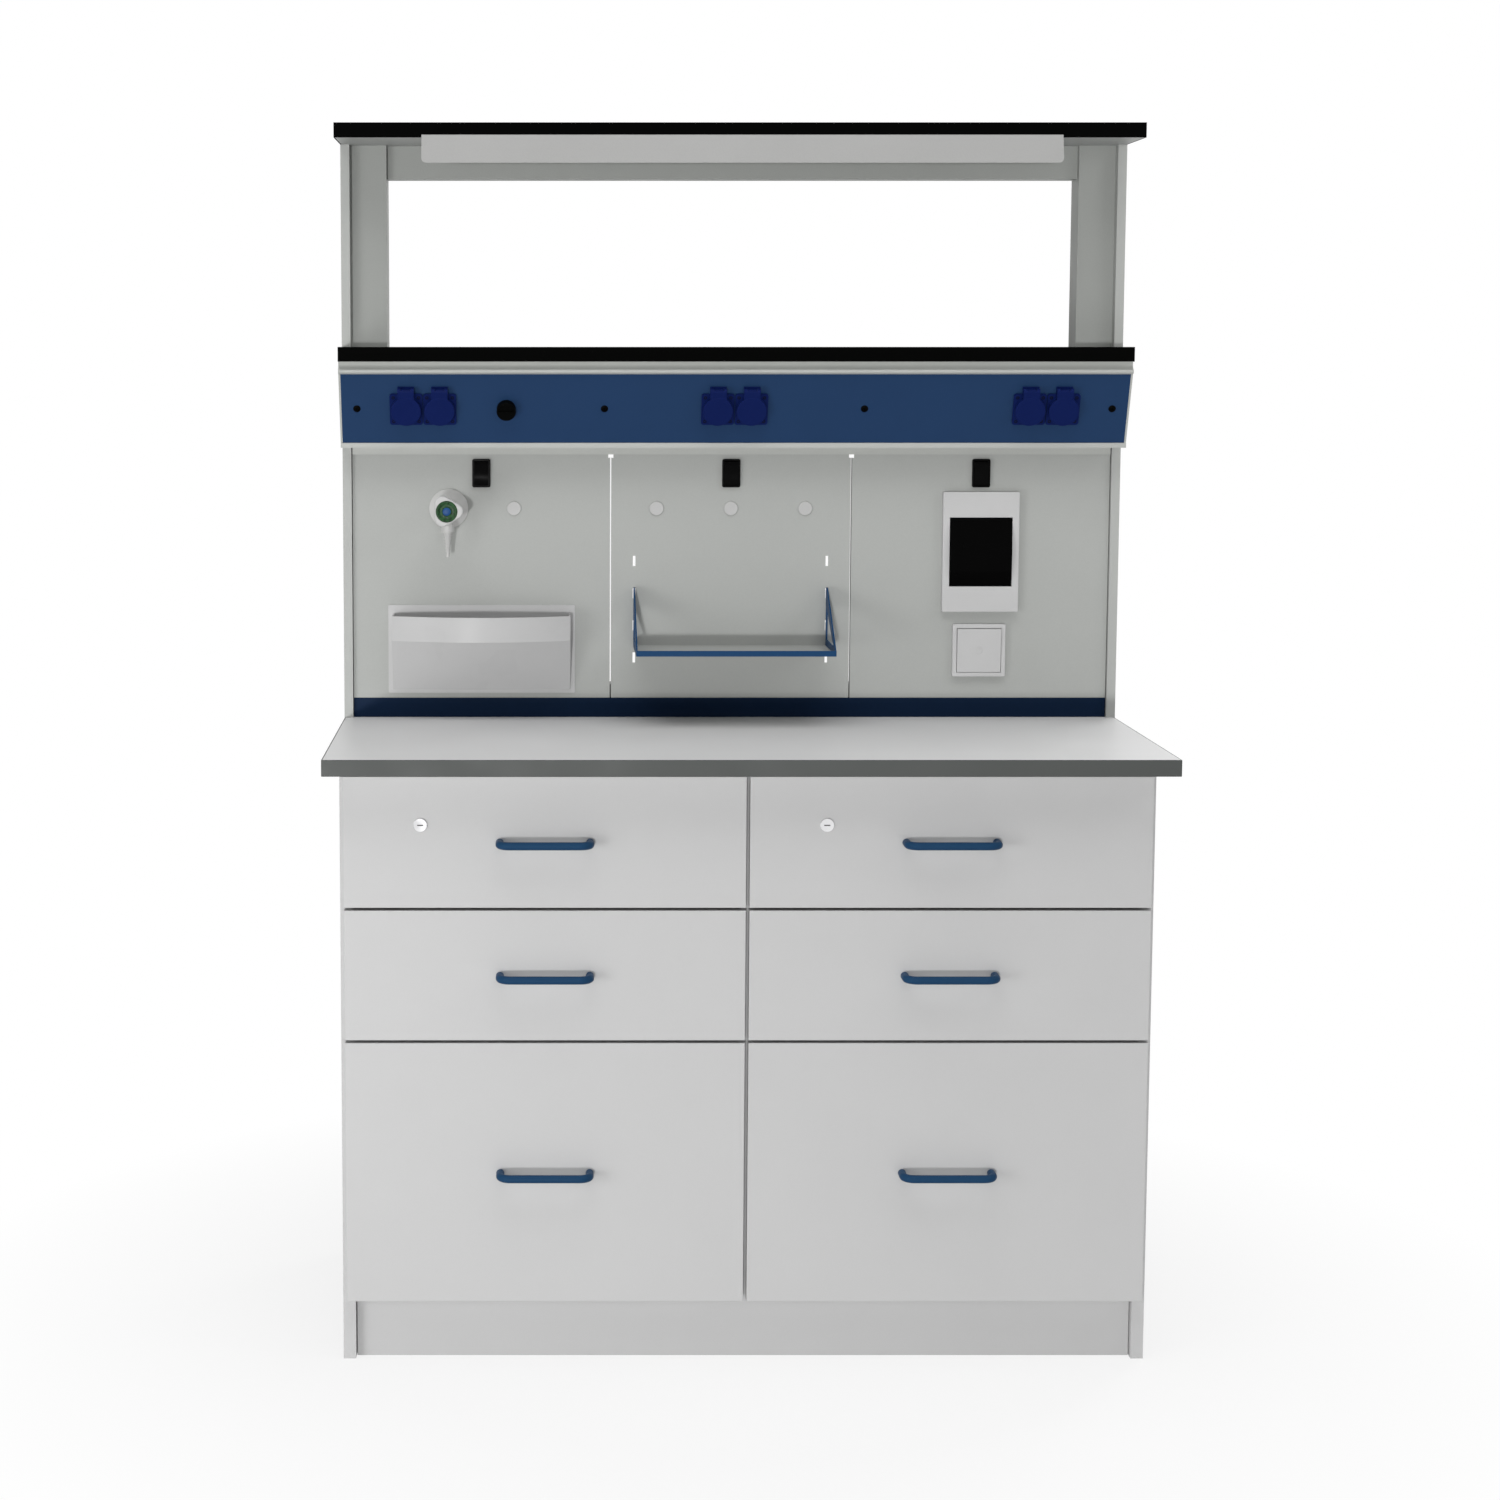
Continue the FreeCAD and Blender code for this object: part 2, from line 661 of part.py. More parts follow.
def upright_panel():
    return block((upright_inner, half_width), (upright_front, back_y), (WORKTOP_HEIGHT, top_shelf_underside))


def post_span():
    return (post_inner, upright_inner), (post_front, post_front + POST_DEPTH)


def make_frame():
    post_x, post_y = post_span()
    post = tube(post_x, post_y, (WORKTOP_HEIGHT, top_shelf_underside), 2)
    rail_x = (-post_inner, post_inner)
    low_rails = []
    for rail_low in (WORKTOP_HEIGHT, middle_shelf_underside - CROSS_RAIL_HEIGHT):
        low_rails.append(tube(rail_x, (post_front, post_front + CROSS_RAIL_DEPTH),
                              (rail_low, rail_low + CROSS_RAIL_HEIGHT), 0))
    top_y = post_front + TOP_RAIL_SETBACK
    top_rail = tube(rail_x, (top_y, top_y + CROSS_RAIL_DEPTH),
                    (top_shelf_underside - CROSS_RAIL_HEIGHT, top_shelf_underside), 0)
    save("upright_panels", upright_panel(), mirrored(upright_panel()))
    save("upright_posts", post, mirrored(post))
    save("cross_rails", *low_rails, top_rail)


def grown(span, room):
    return span[0] - room, span[1] + room


def middle_shelf_cuts(height):
    """Room for the uprights and posts at both ends of the middle shelf."""
    post_x, post_y = post_span()
    upright = block((upright_inner - SHELF_FIT, half_width), (upright_front - SHELF_FIT, back_y), height)
    post = block((post_x[0] - SHELF_FIT, half_width), grown(post_y, SHELF_FIT), height)
    return [upright, post, mirrored(upright), mirrored(post)]


def make_shelves():
    middle_z = (middle_shelf_underside, middle_shelf_top)
    top_z = (top_shelf_underside, top_shelf_top)
    full = (-half_width, half_width)
    core = (EDGE_BAND - half_width, half_width - EDGE_BAND)
    middle_core = block(core, (middle_shelf_front + EDGE_BAND, back_y), middle_z)
    middle_all = block(full, (middle_shelf_front, upright_front - SHELF_FIT), middle_z)
    top_core = block(core, (top_shelf_front + EDGE_BAND, back_y), top_z)
    top_all = block(full, (top_shelf_front, back_y), top_z)
    save("middle_shelf", middle_core.cut(middle_shelf_cuts(middle_z)))
    save("top_shelf", top_core)
    middle_band = rounded_at(middle_all, EDGE_ROUND, 1, middle_shelf_front).cut(middle_core)
    top_band = rounded_at(top_all, EDGE_ROUND, 1, top_shelf_front).cut(top_core)
    save("shelf_edge_bands", middle_band, top_band)


# Lamp

def lamp_outline(inset):
    """Section of the lamp: an upright nose that leans out, and an underside that rises to the back."""
    top = top_shelf_underside - inset
    low = top_shelf_underside - LAMP_HEIGHT + inset
    nose = top_shelf_front - LAMP_FORWARD + inset
    back = top_shelf_front - LAMP_FORWARD + LAMP_DEPTH - inset
    return [(nose, top), (nose - LAMP_LEAN, low), (back, low + LAMP_BACK_RISE), (back, top)]


def make_lamp():
    half = LAMP_LENGTH / 2
    shell = across(lamp_outline(0.0), (-half, half))
    ends = [edge for edge in shell.Edges
            if edge.CenterOfMass.z < top_shelf_underside - LAMP_HEIGHT / 2 and abs(edge.CenterOfMass.x) > half - 1]
    low_ends = [edge for edge in ends if edge.BoundBox.YLength > LAMP_DEPTH / 2]
    shell = shell.makeFillet(LAMP_CORNER, low_ends)
    hollow = across(lamp_outline(LAMP_WALL), (LAMP_CORNER - half, half - LAMP_CORNER))
    nose_low, back_low = lamp_outline(0.0)[1:3]
    run = V(0, back_low[0] - nose_low[0], back_low[1] - nose_low[1])
    along = V(run).normalize()
    inward = V(1, 0, 0).cross(along)
    start = V(0, *nose_low) + along * DIFFUSER_MARGIN
    end = V(0, *back_low) - along * DIFFUSER_MARGIN
    corners = [start, end, end + inward * DIFFUSER_THICKNESS, start + inward * DIFFUSER_THICKNESS]
    lens = across([(point.y, point.z) for point in corners], (DIFFUSER_MARGIN - half, half - DIFFUSER_MARGIN))
    save("lamp_housing", shell.cut(hollow).cut(lens))
    save("lamp_diffuser", lens)


# Sloping service casing

def casing_outline(sheet):
    """Section of the casing with its cove and bead; the sloping seat lies one sheet behind the panel."""
    x = 0.0
    head = V(x, upright_front - CASING_FRONT, middle_shelf_underside)
    back_top = V(x, upright_front, middle_shelf_underside)
    back_low = V(x, upright_front, casing_underside)
    lip_top = slope_foot + slope_out * LIP_REACH
    lip_low = V(x, lip_top.y, casing_underside)
    seat_low = slope_foot - slope_out * sheet
    seat_top = slope_top - slope_out * sheet
    bead_low = V(x, head.y - BEAD_REACH / 2, slope_top.z + 1)
    bead_tip = V(x, head.y - BEAD_REACH, bead_low.z + BEAD_HEIGHT / 2)
    bead_top = V(x, head.y - BEAD_REACH / 2, bead_low.z + BEAD_HEIGHT)
    cove = V(x, head.y + COVE_DEPTH, (head.z + bead_top.z) / 2)
    lines = [(back_top, back_low), (back_low, lip_low), (lip_low, lip_top), (lip_top, seat_low),
             (seat_low, seat_top), (seat_top, slope_top), (slope_top, bead_low)]
    edges = [Part.LineSegment(start, end).toShape() for start, end in lines if start.distanceToPoint(end) > 1e-6]
    edges += [Part.Arc(bead_low, bead_tip, bead_top).toShape(), Part.Arc(bead_top, cove, head).toShape()]
    edges.append(Part.LineSegment(head, back_top).toShape())
    return Part.Face(Part.Wire(edges))


def casing_cavity():
    """The wiring space, open through the sloping front between two ledges."""
    open_top = slope_top - slope_up * SEAT_LEDGE
    open_low = slope_foot + slope_up * SEAT_LEDGE
    out = slope_out * SEAT_LEDGE
    inner_back = upright_front - CASING_WALL
    floor_z = casing_underside + CASING_WALL
    mouth = [open_top + out, open_top - out * 0.5]
    sill = [open_low - out * 0.5, open_low + out]
    corners = [(point.y, point.z) for point in mouth]
    corners += [(inner_back, mouth[1].z), (inner_back, floor_z), (sill[0].y + CASING_WALL, floor_z)]
    corners += [(point.y, point.z) for point in sill]
    wiring_half = half_width - CASING_WALL
    return across(corners, (-wiring_half, wiring_half))


def make_casing():
    inner_half = half_width - CASING_WALL
    body = casing_outline(SERVICE_SHEET).extrude(V(2 * inner_half, 0, 0)).translated(V(-inner_half, 0, 0))
    cap = casing_outline(0.0).extrude(V(CASING_WALL, 0, 0)).translated(V(inner_half, 0, 0))
    flange_half = upright_inner - CASING_END_GAP
    flange_back = upright_front + CASING_FLANGE_REACH
    web = block((-flange_half, flange_half), (upright_front, flange_back),
                (casing_underside, casing_underside + CASING_WALL))
    flange = block((-flange_half, flange_half), (flange_back - CASING_FLANGE_SHEET, flange_back),
                   (casing_underside - CASING_FLANGE, casing_underside + CASING_WALL))
    casing = body.cut(casing_cavity()).fuse([cap, mirrored(cap), web, flange]).removeSplitter()
    length = (slope_top - slope_foot).Length
    sheet = plate(2 * inner_half, length, (-SERVICE_SHEET, 0))
    holes = [disc(SOCKET_BODY_RADIUS + SOCKET_FIT, (-2 * SERVICE_SHEET, SERVICE_SHEET), x)
             for x in socket_places()]
    holes.append(disc(LIGHT_SHAFT_RADIUS + TURN_FIT, (-2 * SERVICE_SHEET, SERVICE_SHEET), light_knob_x))
    save("service_casing", casing)
    save("service_panel", on_slope(sheet.cut(holes), 0.0))


# Flap sockets and rotary switch on the sloping panel

def socket_places():
    pairs = (-socket_pair_x, 0.0, socket_pair_x)
    return [pair + side * SOCKET_PITCH / 2 for pair in pairs for side in (-1, 1)]


def socket_body():
    """Flange, round well with two contact holes, and a hinge lug that carries the flap's pin."""
    well_floor = SOCKET_RIM_HEIGHT - SOCKET_WELL_DEPTH
    rear = well_floor - SOCKET_FLOOR
    half = HINGE_WIDTH / 2
    lug_half = half - HINGE_CHEEK - HINGE_GAP
    root = SOCKET_FLANGE / 2 - SOCKET_CORNER
    flange = plate(SOCKET_FLANGE, SOCKET_FLANGE, (0, SOCKET_FLANGE_THICKNESS), SOCKET_CORNER)
    foot = block((-half, half), (root, HINGE_RISE + HINGE_RADIUS), (0, HINGE_STANDOFF - HINGE_RADIUS - HINGE_GAP))
    stem = block((-lug_half, lug_half), (HINGE_RISE - HINGE_STEM / 2, HINGE_RISE + HINGE_STEM / 2),
                 (0, HINGE_STANDOFF))
    barrel = bar_x(HINGE_BARREL_RADIUS, 2 * lug_half, HINGE_RISE, HINGE_STANDOFF)
    pin = bar_x(HINGE_PIN_RADIUS, HINGE_WIDTH - 2, HINGE_RISE, HINGE_STANDOFF)
    body = flange.fuse([disc(SOCKET_RIM_RADIUS, (0, SOCKET_RIM_HEIGHT)), disc(SOCKET_BODY_RADIUS, (rear, 0)),
                        foot, stem, barrel, pin])
    body = body.cut(disc(SOCKET_WELL_RADIUS, (well_floor, SOCKET_RIM_HEIGHT)))
    for side in (-1, 1):
        body = body.cut(disc(CONTACT_RADIUS, (rear, well_floor), side * CONTACT_SPACING / 2))
    return body.removeSplitter()


def lug_room():
    """The space inside the flap's tab in which the socket's hinge lug stays while the flap swings."""
    room = HINGE_WIDTH - 2 * HINGE_CHEEK
    reach = 3 * HINGE_RADIUS
    curl = math.radians(HINGE_CURL)
    swing = [(HINGE_RISE, HINGE_STANDOFF),
             (HINGE_RISE + reach * math.sin(curl), HINGE_STANDOFF + reach * math.cos(curl)),
             (HINGE_RISE + reach, HINGE_STANDOFF - reach), (HINGE_RISE - reach, HINGE_STANDOFF - reach),
             (HINGE_RISE - reach, HINGE_STANDOFF)]
    hollow = bar_x(HINGE_BARREL_RADIUS + HINGE_GAP, room, HINGE_RISE, HINGE_STANDOFF)
    return [across(swing, (-room / 2, room / 2)), hollow]


def socket_lid():
    """Round flap whose broad tab curls over the hinge lug, with a bored cheek at each end."""
    low = SOCKET_RIM_HEIGHT + LID_GAP
    high = low + LID_THICKNESS
    half = HINGE_WIDTH / 2
    flap = disc(LID_RADIUS, (low, high))
    face_edge = [edge for edge in flap.Edges if abs(edge.CenterOfMass.z - high) < 1e-6]
    flap = flap.makeFillet(LID_ROUND, face_edge)
    tab = block((-half, half), (LID_RADIUS / 2, HINGE_RISE), (low, HINGE_STANDOFF + HINGE_RADIUS))
    knuckle = bar_x(HINGE_RADIUS, HINGE_WIDTH, HINGE_RISE, HINGE_STANDOFF)
    bore = bar_x(HINGE_PIN_RADIUS + TURN_FIT, 2 * HINGE_WIDTH, HINGE_RISE, HINGE_STANDOFF)
    return flap.fuse([tab, knuckle]).cut([bore, *lug_room()]).removeSplitter()


def light_knob():
    """Round knob whose upper half is sunk, on a shaft through the panel."""
    half_plate = block((-LIGHT_KNOB_RADIUS, LIGHT_KNOB_RADIUS), (0, LIGHT_KNOB_RADIUS),
                       (LIGHT_KNOB_HEIGHT - LIGHT_KNOB_STEP, LIGHT_KNOB_HEIGHT))
    dish = half_plate.common(disc(LIGHT_KNOB_RADIUS - LIGHT_KNOB_RIM, (0, LIGHT_KNOB_HEIGHT)))
    knob = disc(LIGHT_KNOB_RADIUS, (LIGHT_KNOB_GAP, LIGHT_KNOB_HEIGHT))
    top_edge = [edge for edge in knob.Edges if abs(edge.CenterOfMass.z - LIGHT_KNOB_HEIGHT) < 1e-6]
    knob = knob.makeFillet(LIGHT_KNOB_RIM / 2, top_edge)
    shaft = disc(LIGHT_SHAFT_RADIUS, (-LIGHT_SHAFT_LENGTH, LIGHT_KNOB_GAP))
    return knob.cut(dish).fuse(shaft).removeSplitter()


def make_slope_fittings():
    save("socket_bodies", *[on_slope(socket_body(), x) for x in socket_places()])
    for number, x in enumerate(socket_places(), 1):
        save("socket_lid_" + str(number), on_slope(socket_lid(), x))
    save("light_knob", on_slope(light_knob(), light_knob_x))


# Infill panels and splash riser

def wall_cutout(width, height, x, drop):
    """A rectangular opening through an infill panel's face."""
    return on_wall(plate(width, height, (-2 * PANEL_SHEET, PANEL_SHEET)), x, drop)


def wall_hole(radius, x, drop):
    """A round opening through an infill panel's face."""
    return on_wall(disc(radius, (-2 * PANEL_SHEET, PANEL_SHEET)), x, drop)


def cassette(x_span):
    """Folded sheet panel: a face with a return on every side."""
    low = WORKTOP_HEIGHT + RISER_HEIGHT + RISER_GAP
    high = middle_shelf_underside - CROSS_RAIL_HEIGHT + PANEL_TOP_OVERLAP
    outer = block(x_span, (panel_face, post_front), (low, high))
    inner = block(grown(x_span, -PANEL_SHEET), (panel_face + PANEL_SHEET, post_front),
                  (low + PANEL_SHEET, high - PANEL_SHEET))
    return outer.cut(inner)


def rocker_cutout(x):
    room = 2 * (BEZEL_SLEEVE - BEZEL_RIM + CUTOUT_FIT)
    return wall_cutout(BEZEL_WIDTH + room, BEZEL_HEIGHT + room, x, ROCKER_DROP)


def joint_relief(x):
    """Corner relief where two cassettes meet under the casing."""
    high = casing_underside - CASING_FLANGE
    return block((x - RELIEF[0] / 2, x + RELIEF[0] / 2), (panel_face, post_front), (high - RELIEF[1], high))


def slot_drop(row):
    return SLOT_TOP_DROP + row * SLOT_PITCH


def make_panels():
    inner = CENTRE_PANEL_WIDTH / 2
    outer = upright_inner - PANEL_END_GAP
    gap_x = inner + PANEL_GAP / 2
    reliefs = [joint_relief(gap_x), joint_relief(-gap_x)]
    plug_hole = PLUG_STEM_RADIUS + PLUG_FIT
    left = cassette((-outer, -inner - PANEL_GAP)).cut(reliefs)
    left = left.cut([rocker_cutout(-side_panel_x),
                     wall_hole(plug_hole, FITTING_OFFSET - side_panel_x, FITTING_DROP)])
    centre = cassette((-inner, inner)).cut(reliefs)
    centre = centre.cut([rocker_cutout(0.0)] + [wall_hole(plug_hole, x, FITTING_DROP) for x in plug_row()])
    for side in (-1, 1):
        slots = [wall_cutout(SLOT_WIDTH, SLOT_HEIGHT, side * SLOT_SPREAD / 2, slot_drop(row))
                 for row in range(SLOT_ROWS)]
        centre = centre.cut(slots)
    right = cassette((inner + PANEL_GAP, outer)).cut(reliefs)
    box_room = 2 * CUTOUT_FIT
    right = right.cut([rocker_cutout(side_panel_x),
                       wall_cutout(BREAKER_BOX_WIDTH + box_room, BREAKER_BOX_HEIGHT + box_room,
                                   side_panel_x, BREAKER_DROP),
                       wall_hole(WALL_SWITCH_BACK_RADIUS + CUTOUT_FIT, side_panel_x, WALL_SWITCH_DROP)])
    riser = block((-outer, outer), (panel_face, post_front), (WORKTOP_HEIGHT, WORKTOP_HEIGHT + RISER_HEIGHT))
    riser_hollow = block((-outer, outer), (panel_face + PANEL_SHEET, post_front),
                         (WORKTOP_HEIGHT, WORKTOP_HEIGHT + RISER_HEIGHT - PANEL_SHEET))
    save("infill_panel_left", left)
    save("infill_panel_centre", centre)
    save("infill_panel_right", right)
    save("splash_riser", riser.cut(riser_hollow))


# Rocker switches

def bezel_opening():
    return BEZEL_WIDTH - 2 * BEZEL_RIM, BEZEL_HEIGHT - 2 * BEZEL_RIM


def switch_bezel():
    """Proud frame with a sleeve behind it and two blind pivot holes."""
    width, height = bezel_opening()
    wall = 2 * BEZEL_SLEEVE
    frame = plate(BEZEL_WIDTH, BEZEL_HEIGHT, (0, BEZEL_PROUD), BEZEL_CORNER)
    frame = rounded_at(frame, EDGE_ROUND, 2, BEZEL_PROUD)
    sleeve = plate(width + wall, height + wall, (-BEZEL_DEPTH, 0))
    pivot = bar_x(PIVOT_RADIUS + TURN_FIT, width + 2 * (PIVOT_REACH + PIVOT_END_GAP), 0, ROCKER_PIVOT)
    opening = plate(width, height, (BEZEL_FLOOR - BEZEL_DEPTH, BEZEL_PROUD))
    return frame.fuse(sleeve).cut([opening, pivot]).removeSplitter()


def rocker():
    """Dished rocker with round ends about its pivot, at rest with its lower half pressed."""
    width, height = bezel_opening()
    width -= 2 * ROCKER_GAP
    radius = height / 2 - ROCKER_GAP
    x = -width / 2

    def rim(z):
        return math.sqrt(radius ** 2 - (z - ROCKER_PIVOT) ** 2)

    low = -ROCKER_UNDER
    upper = [V(x, rim(ROCKER_TOP), ROCKER_TOP), V(x, radius, ROCKER_PIVOT), V(x, rim(low), low)]
    lower = [V(x, -point.y, point.z) for point in reversed(upper)]
    keel = V(x, 0, -ROCKER_KEEL)
    dish = V(x, 0, ROCKER_TOP - ROCKER_DISH)
    wire = Part.Wire([Part.Arc(*upper).toShape(), Part.LineSegment(upper[2], keel).toShape(),
                      Part.LineSegment(keel, lower[0]).toShape(), Part.Arc(*lower).toShape(),
                      Part.Arc(lower[2], dish, upper[0]).toShape()])
    body = Part.Face(wire).extrude(V(width, 0, 0))
    body = body.fuse(bar_x(PIVOT_RADIUS, bezel_opening()[0] + 2 * PIVOT_REACH, 0, ROCKER_PIVOT)).removeSplitter()
    return body.rotated(V(0, 0, ROCKER_PIVOT), V(1, 0, 0), ROCKER_TILT)


def make_rockers():
    places = {"left": -side_panel_x, "centre": 0.0, "right": side_panel_x}
    save("switch_bezels", *[on_wall(switch_bezel(), x, ROCKER_DROP) for x in places.values()])
    for name, x in places.items():
        save("rocker_" + name, on_wall(rocker(), x, ROCKER_DROP))


# Blanking plugs and valve

def plug_row():
    return -PLUG_SPREAD, 0.0, PLUG_SPREAD


def blanking_plug():
    shoulder = PLUG_PROUD - PLUG_CHAMFER
    return turned([(0, -PLUG_STEM_LENGTH), (PLUG_STEM_RADIUS, -PLUG_STEM_LENGTH), (PLUG_STEM_RADIUS, 0),
                   (PLUG_RADIUS, 0), (PLUG_RADIUS, shoulder), (PLUG_RADIUS - PLUG_CHAMFER, PLUG_PROUD),
                   (0, PLUG_PROUD)])


def valve_rosette():
    bore = VALVE_BODY_RADIUS + VALVE_BODY_FIT
    return turned([(bore, 0), (ROSETTE_RADIUS, 0), (ROSETTE_RADIUS, ROSETTE_EDGE),
                   (ROSETTE_NECK, ROSETTE_HEIGHT), (bore, ROSETTE_HEIGHT)])


def valve_housing():
    """Straight body from the wall, a bonnet in front and a neck and collar that hang under it."""
    bonnet_back = VALVE_BODY_LENGTH - VALVE_BONNET_LENGTH
    body = turned([(0, 0), (VALVE_BODY_RADIUS, 0), (VALVE_BODY_RADIUS, bonnet_back - 2),
                   (VALVE_BONNET_RADIUS, bonnet_back), (VALVE_BONNET_RADIUS, VALVE_BODY_LENGTH - 2),
                   (VALVE_BONNET_RADIUS - 2, VALVE_BODY_LENGTH), (0, VALVE_BODY_LENGTH)])
    collar_low = OUTLET_COLLAR_TOP + OUTLET_COLLAR_HEIGHT
    down = V(0, -1, 0)
    neck = Part.makeCylinder(OUTLET_NECK_RADIUS, collar_low, V(0, 0, VALVE_OUTLET), down)
    collar = Part.makeCylinder(OUTLET_COLLAR_RADIUS, OUTLET_COLLAR_HEIGHT,
                               V(0, -OUTLET_COLLAR_TOP, VALVE_OUTLET), down)
    bore = disc(SPINDLE_RADIUS + TURN_FIT, (VALVE_BODY_LENGTH - SPINDLE_LENGTH - 1, VALVE_BODY_LENGTH))
    return body.fuse([neck, collar]).cut(bore).removeSplitter()


def valve_nozzle():
    """Tapered hose nozzle with saw-tooth barbs, bored through."""
    pitch = NOZZLE_LENGTH / (NOZZLE_BARBS + 1)
    taper = (NOZZLE_RADIUS - NOZZLE_TIP_RADIUS) / NOZZLE_LENGTH
    outline = [(NOZZLE_BORE, 0), (NOZZLE_RADIUS, 0)]
    for barb in range(1, NOZZLE_BARBS + 1):
        depth = barb * pitch
        core = NOZZLE_RADIUS - NOZZLE_BARB_STEP - taper * depth
        outline += [(core, -depth), (core + NOZZLE_BARB_STEP, -depth)]
    outline += [(NOZZLE_TIP_RADIUS, -NOZZLE_LENGTH), (NOZZLE_BORE, -NOZZLE_LENGTH)]
    nozzle = turned(outline).rotated(V(0, 0, 0), V(1, 0, 0), -90)
    return moved(nozzle, 0, -OUTLET_COLLAR_TOP - OUTLET_COLLAR_HEIGHT, VALVE_OUTLET)


def valve_knob():
    """Three-lobed knob with a sunk seat for its colour disc, on a hub and spindle."""
    hub_low = VALVE_BODY_LENGTH + KNOB_HUB_GAP
    low = hub_low + KNOB_HUB_LENGTH
    high = low + KNOB_THICKNESS
    lobes = [V(KNOB_LOBE_OFFSET * math.cos(turn), KNOB_LOBE_OFFSET * math.sin(turn), low)
             for turn in (0, 2 * math.pi / 3, 4 * math.pi / 3)]
    outline = Part.makePolygon(lobes + lobes[:1]).makeOffset2D(KNOB_LOBE_RADIUS)
    head = Part.Face(outline).extrude(V(0, 0, KNOB_THICKNESS))
    head = rounded_at(head, KNOB_ROUND, 2, high)
    seat = disc(KNOB_DISC_RADIUS, (high - KNOB_DISC_DEPTH, high))
    hub = disc(KNOB_HUB_RADIUS, (hub_low, low))
    spindle = disc(SPINDLE_RADIUS, (VALVE_BODY_LENGTH - SPINDLE_LENGTH, hub_low))
    return head.cut(seat).fuse([hub, spindle]).removeSplitter()


def make_fittings():
    valve_x = -side_panel_x - FITTING_OFFSET
    plugs = [FITTING_OFFSET - side_panel_x, *plug_row()]
    save("blanking_plugs", *[on_wall(blanking_plug(), x, FITTING_DROP) for x in plugs])
    save("valve_body", *[on_wall(piece, valve_x, FITTING_DROP)
                         for piece in (valve_rosette(), valve_housing(), valve_nozzle())])
    save("valve_knob", on_wall(valve_knob(), valve_x, FITTING_DROP))


# Wall pocket

def pocket_section(height, half, end_reach, mid_reach, back):
    """Plan section of the pocket: square ends and a front bowed outwards."""
    corners = [V(-half, height, back), V(-half, height, end_reach), V(half, height, end_reach), V(half, height, back)]
    crown = V(0, height, mid_reach)
    return Part.Wire([Part.LineSegment(corners[0], corners[1]).toShape(),
                      Part.Arc(corners[1], crown, corners[2]).toShape(),
                      Part.LineSegment(corners[2], corners[3]).toShape(),
                      Part.LineSegment(corners[3], corners[0]).toShape()])


def pocket_form(inset, back, top, foot):
    """Upright band over a part that tapers to the wall."""
    half = POCKET_WIDTH / 2 - POCKET_SIDE_MARGIN - inset
    facet = POCKET_HEIGHT / 2 - POCKET_TOP_MARGIN - POCKET_FACET_DROP
    band = pocket_section(facet, half, POCKET_END_REACH - inset, POCKET_MID_REACH - inset, back)
    toe = pocket_section(foot, half, POCKET_FOOT_END - inset, POCKET_FOOT_MID - inset, back)
    upper = Part.Face(band).extrude(V(0, top - facet, 0))
    return upper.fuse(Part.makeLoft([band, toe], True, True)).removeSplitter()


def make_pocket():
    top = POCKET_HEIGHT / 2 - POCKET_TOP_MARGIN
    foot = POCKET_BOTTOM_MARGIN - POCKET_HEIGHT / 2
    flange = plate(POCKET_WIDTH, POCKET_HEIGHT, (0, POCKET_FLANGE), POCKET_CORNER)
    outer = pocket_form(0.0, 0.0, top, foot)
    inner = pocket_form(POCKET_WALL, POCKET_FLANGE, top + POCKET_WALL, foot + POCKET_WALL)
    pocket = flange.fuse(outer).cut(inner).removeSplitter()
    save("wall_pocket", on_wall(pocket, -side_panel_x, POCKET_DROP))


# Bracket shelf

def bracket_hook(centre_z):
    """Hook that passes through a slot and drops behind the sheet."""
    low = centre_z - HOOK_HEIGHT / 2
    high = centre_z + HOOK_HEIGHT / 2
    near = panel_face
    behind = near + PANEL_SHEET + HOOK_GAP
    return [(near, low), (behind, low), (behind, low - HOOK_DROP), (behind + HOOK_THICKNESS, low - HOOK_DROP),
            (behind + HOOK_THICKNESS, high), (near, high)]


def shelf_bracket(x_span):
    """Triangular side with a triangular opening and two hooks at its back."""
    top = tray_hook_z + SLOT_PITCH + BRACKET_TOP
    low = tray_underside
    front = panel_face - BRACKET_REACH + TRAY_SHEET
    side = across([(panel_face, top), (panel_face - BRACKET_STRAP, top), (front, low + BRACKET_NOSE),
                   (front, low), (panel_face, low)], x_span)
    run = (panel_face - BRACKET_STRAP - front) / (top - low - BRACKET_NOSE)
    back = panel_face - BRACKET_BACK
    sill = low + BRACKET_STRAP
    head = top - BRACKET_HEAD
    strap_front = panel_face - BRACKET_STRAP - run * (top - sill) + BRACKET_STRAP * math.hypot(1, run)
    window = across([(back, sill), (strap_front, sill), (back, head)], x_span)
    hooks = [across(bracket_hook(tray_hook_z + row * SLOT_PITCH), x_span) for row in (0, 1)]
    return side.cut(window).fuse(hooks).removeSplitter()


def make_bracket_shelf():
    slot_x = SLOT_SPREAD / 2
    bracket_x = (slot_x - BRACKET_SHEET / 2, slot_x + BRACKET_SHEET / 2)
    tray_x = (-bracket_x[0], bracket_x[0])
    front = panel_face - BRACKET_REACH
    behind_rail = front + TRAY_SHEET
    tray_top = tray_underside + TRAY_SHEET
    front_rail = block((-bracket_x[1], bracket_x[1]), (front, behind_rail), (tray_underside, tray_top + TRAY_LIP))
    bracket = shelf_bracket(bracket_x)
    save("shelf_brackets", bracket, mirrored(bracket), front_rail)
    save("shelf_tray", block(tray_x, (behind_rail, panel_face), (tray_underside, tray_top)))


# Breaker box

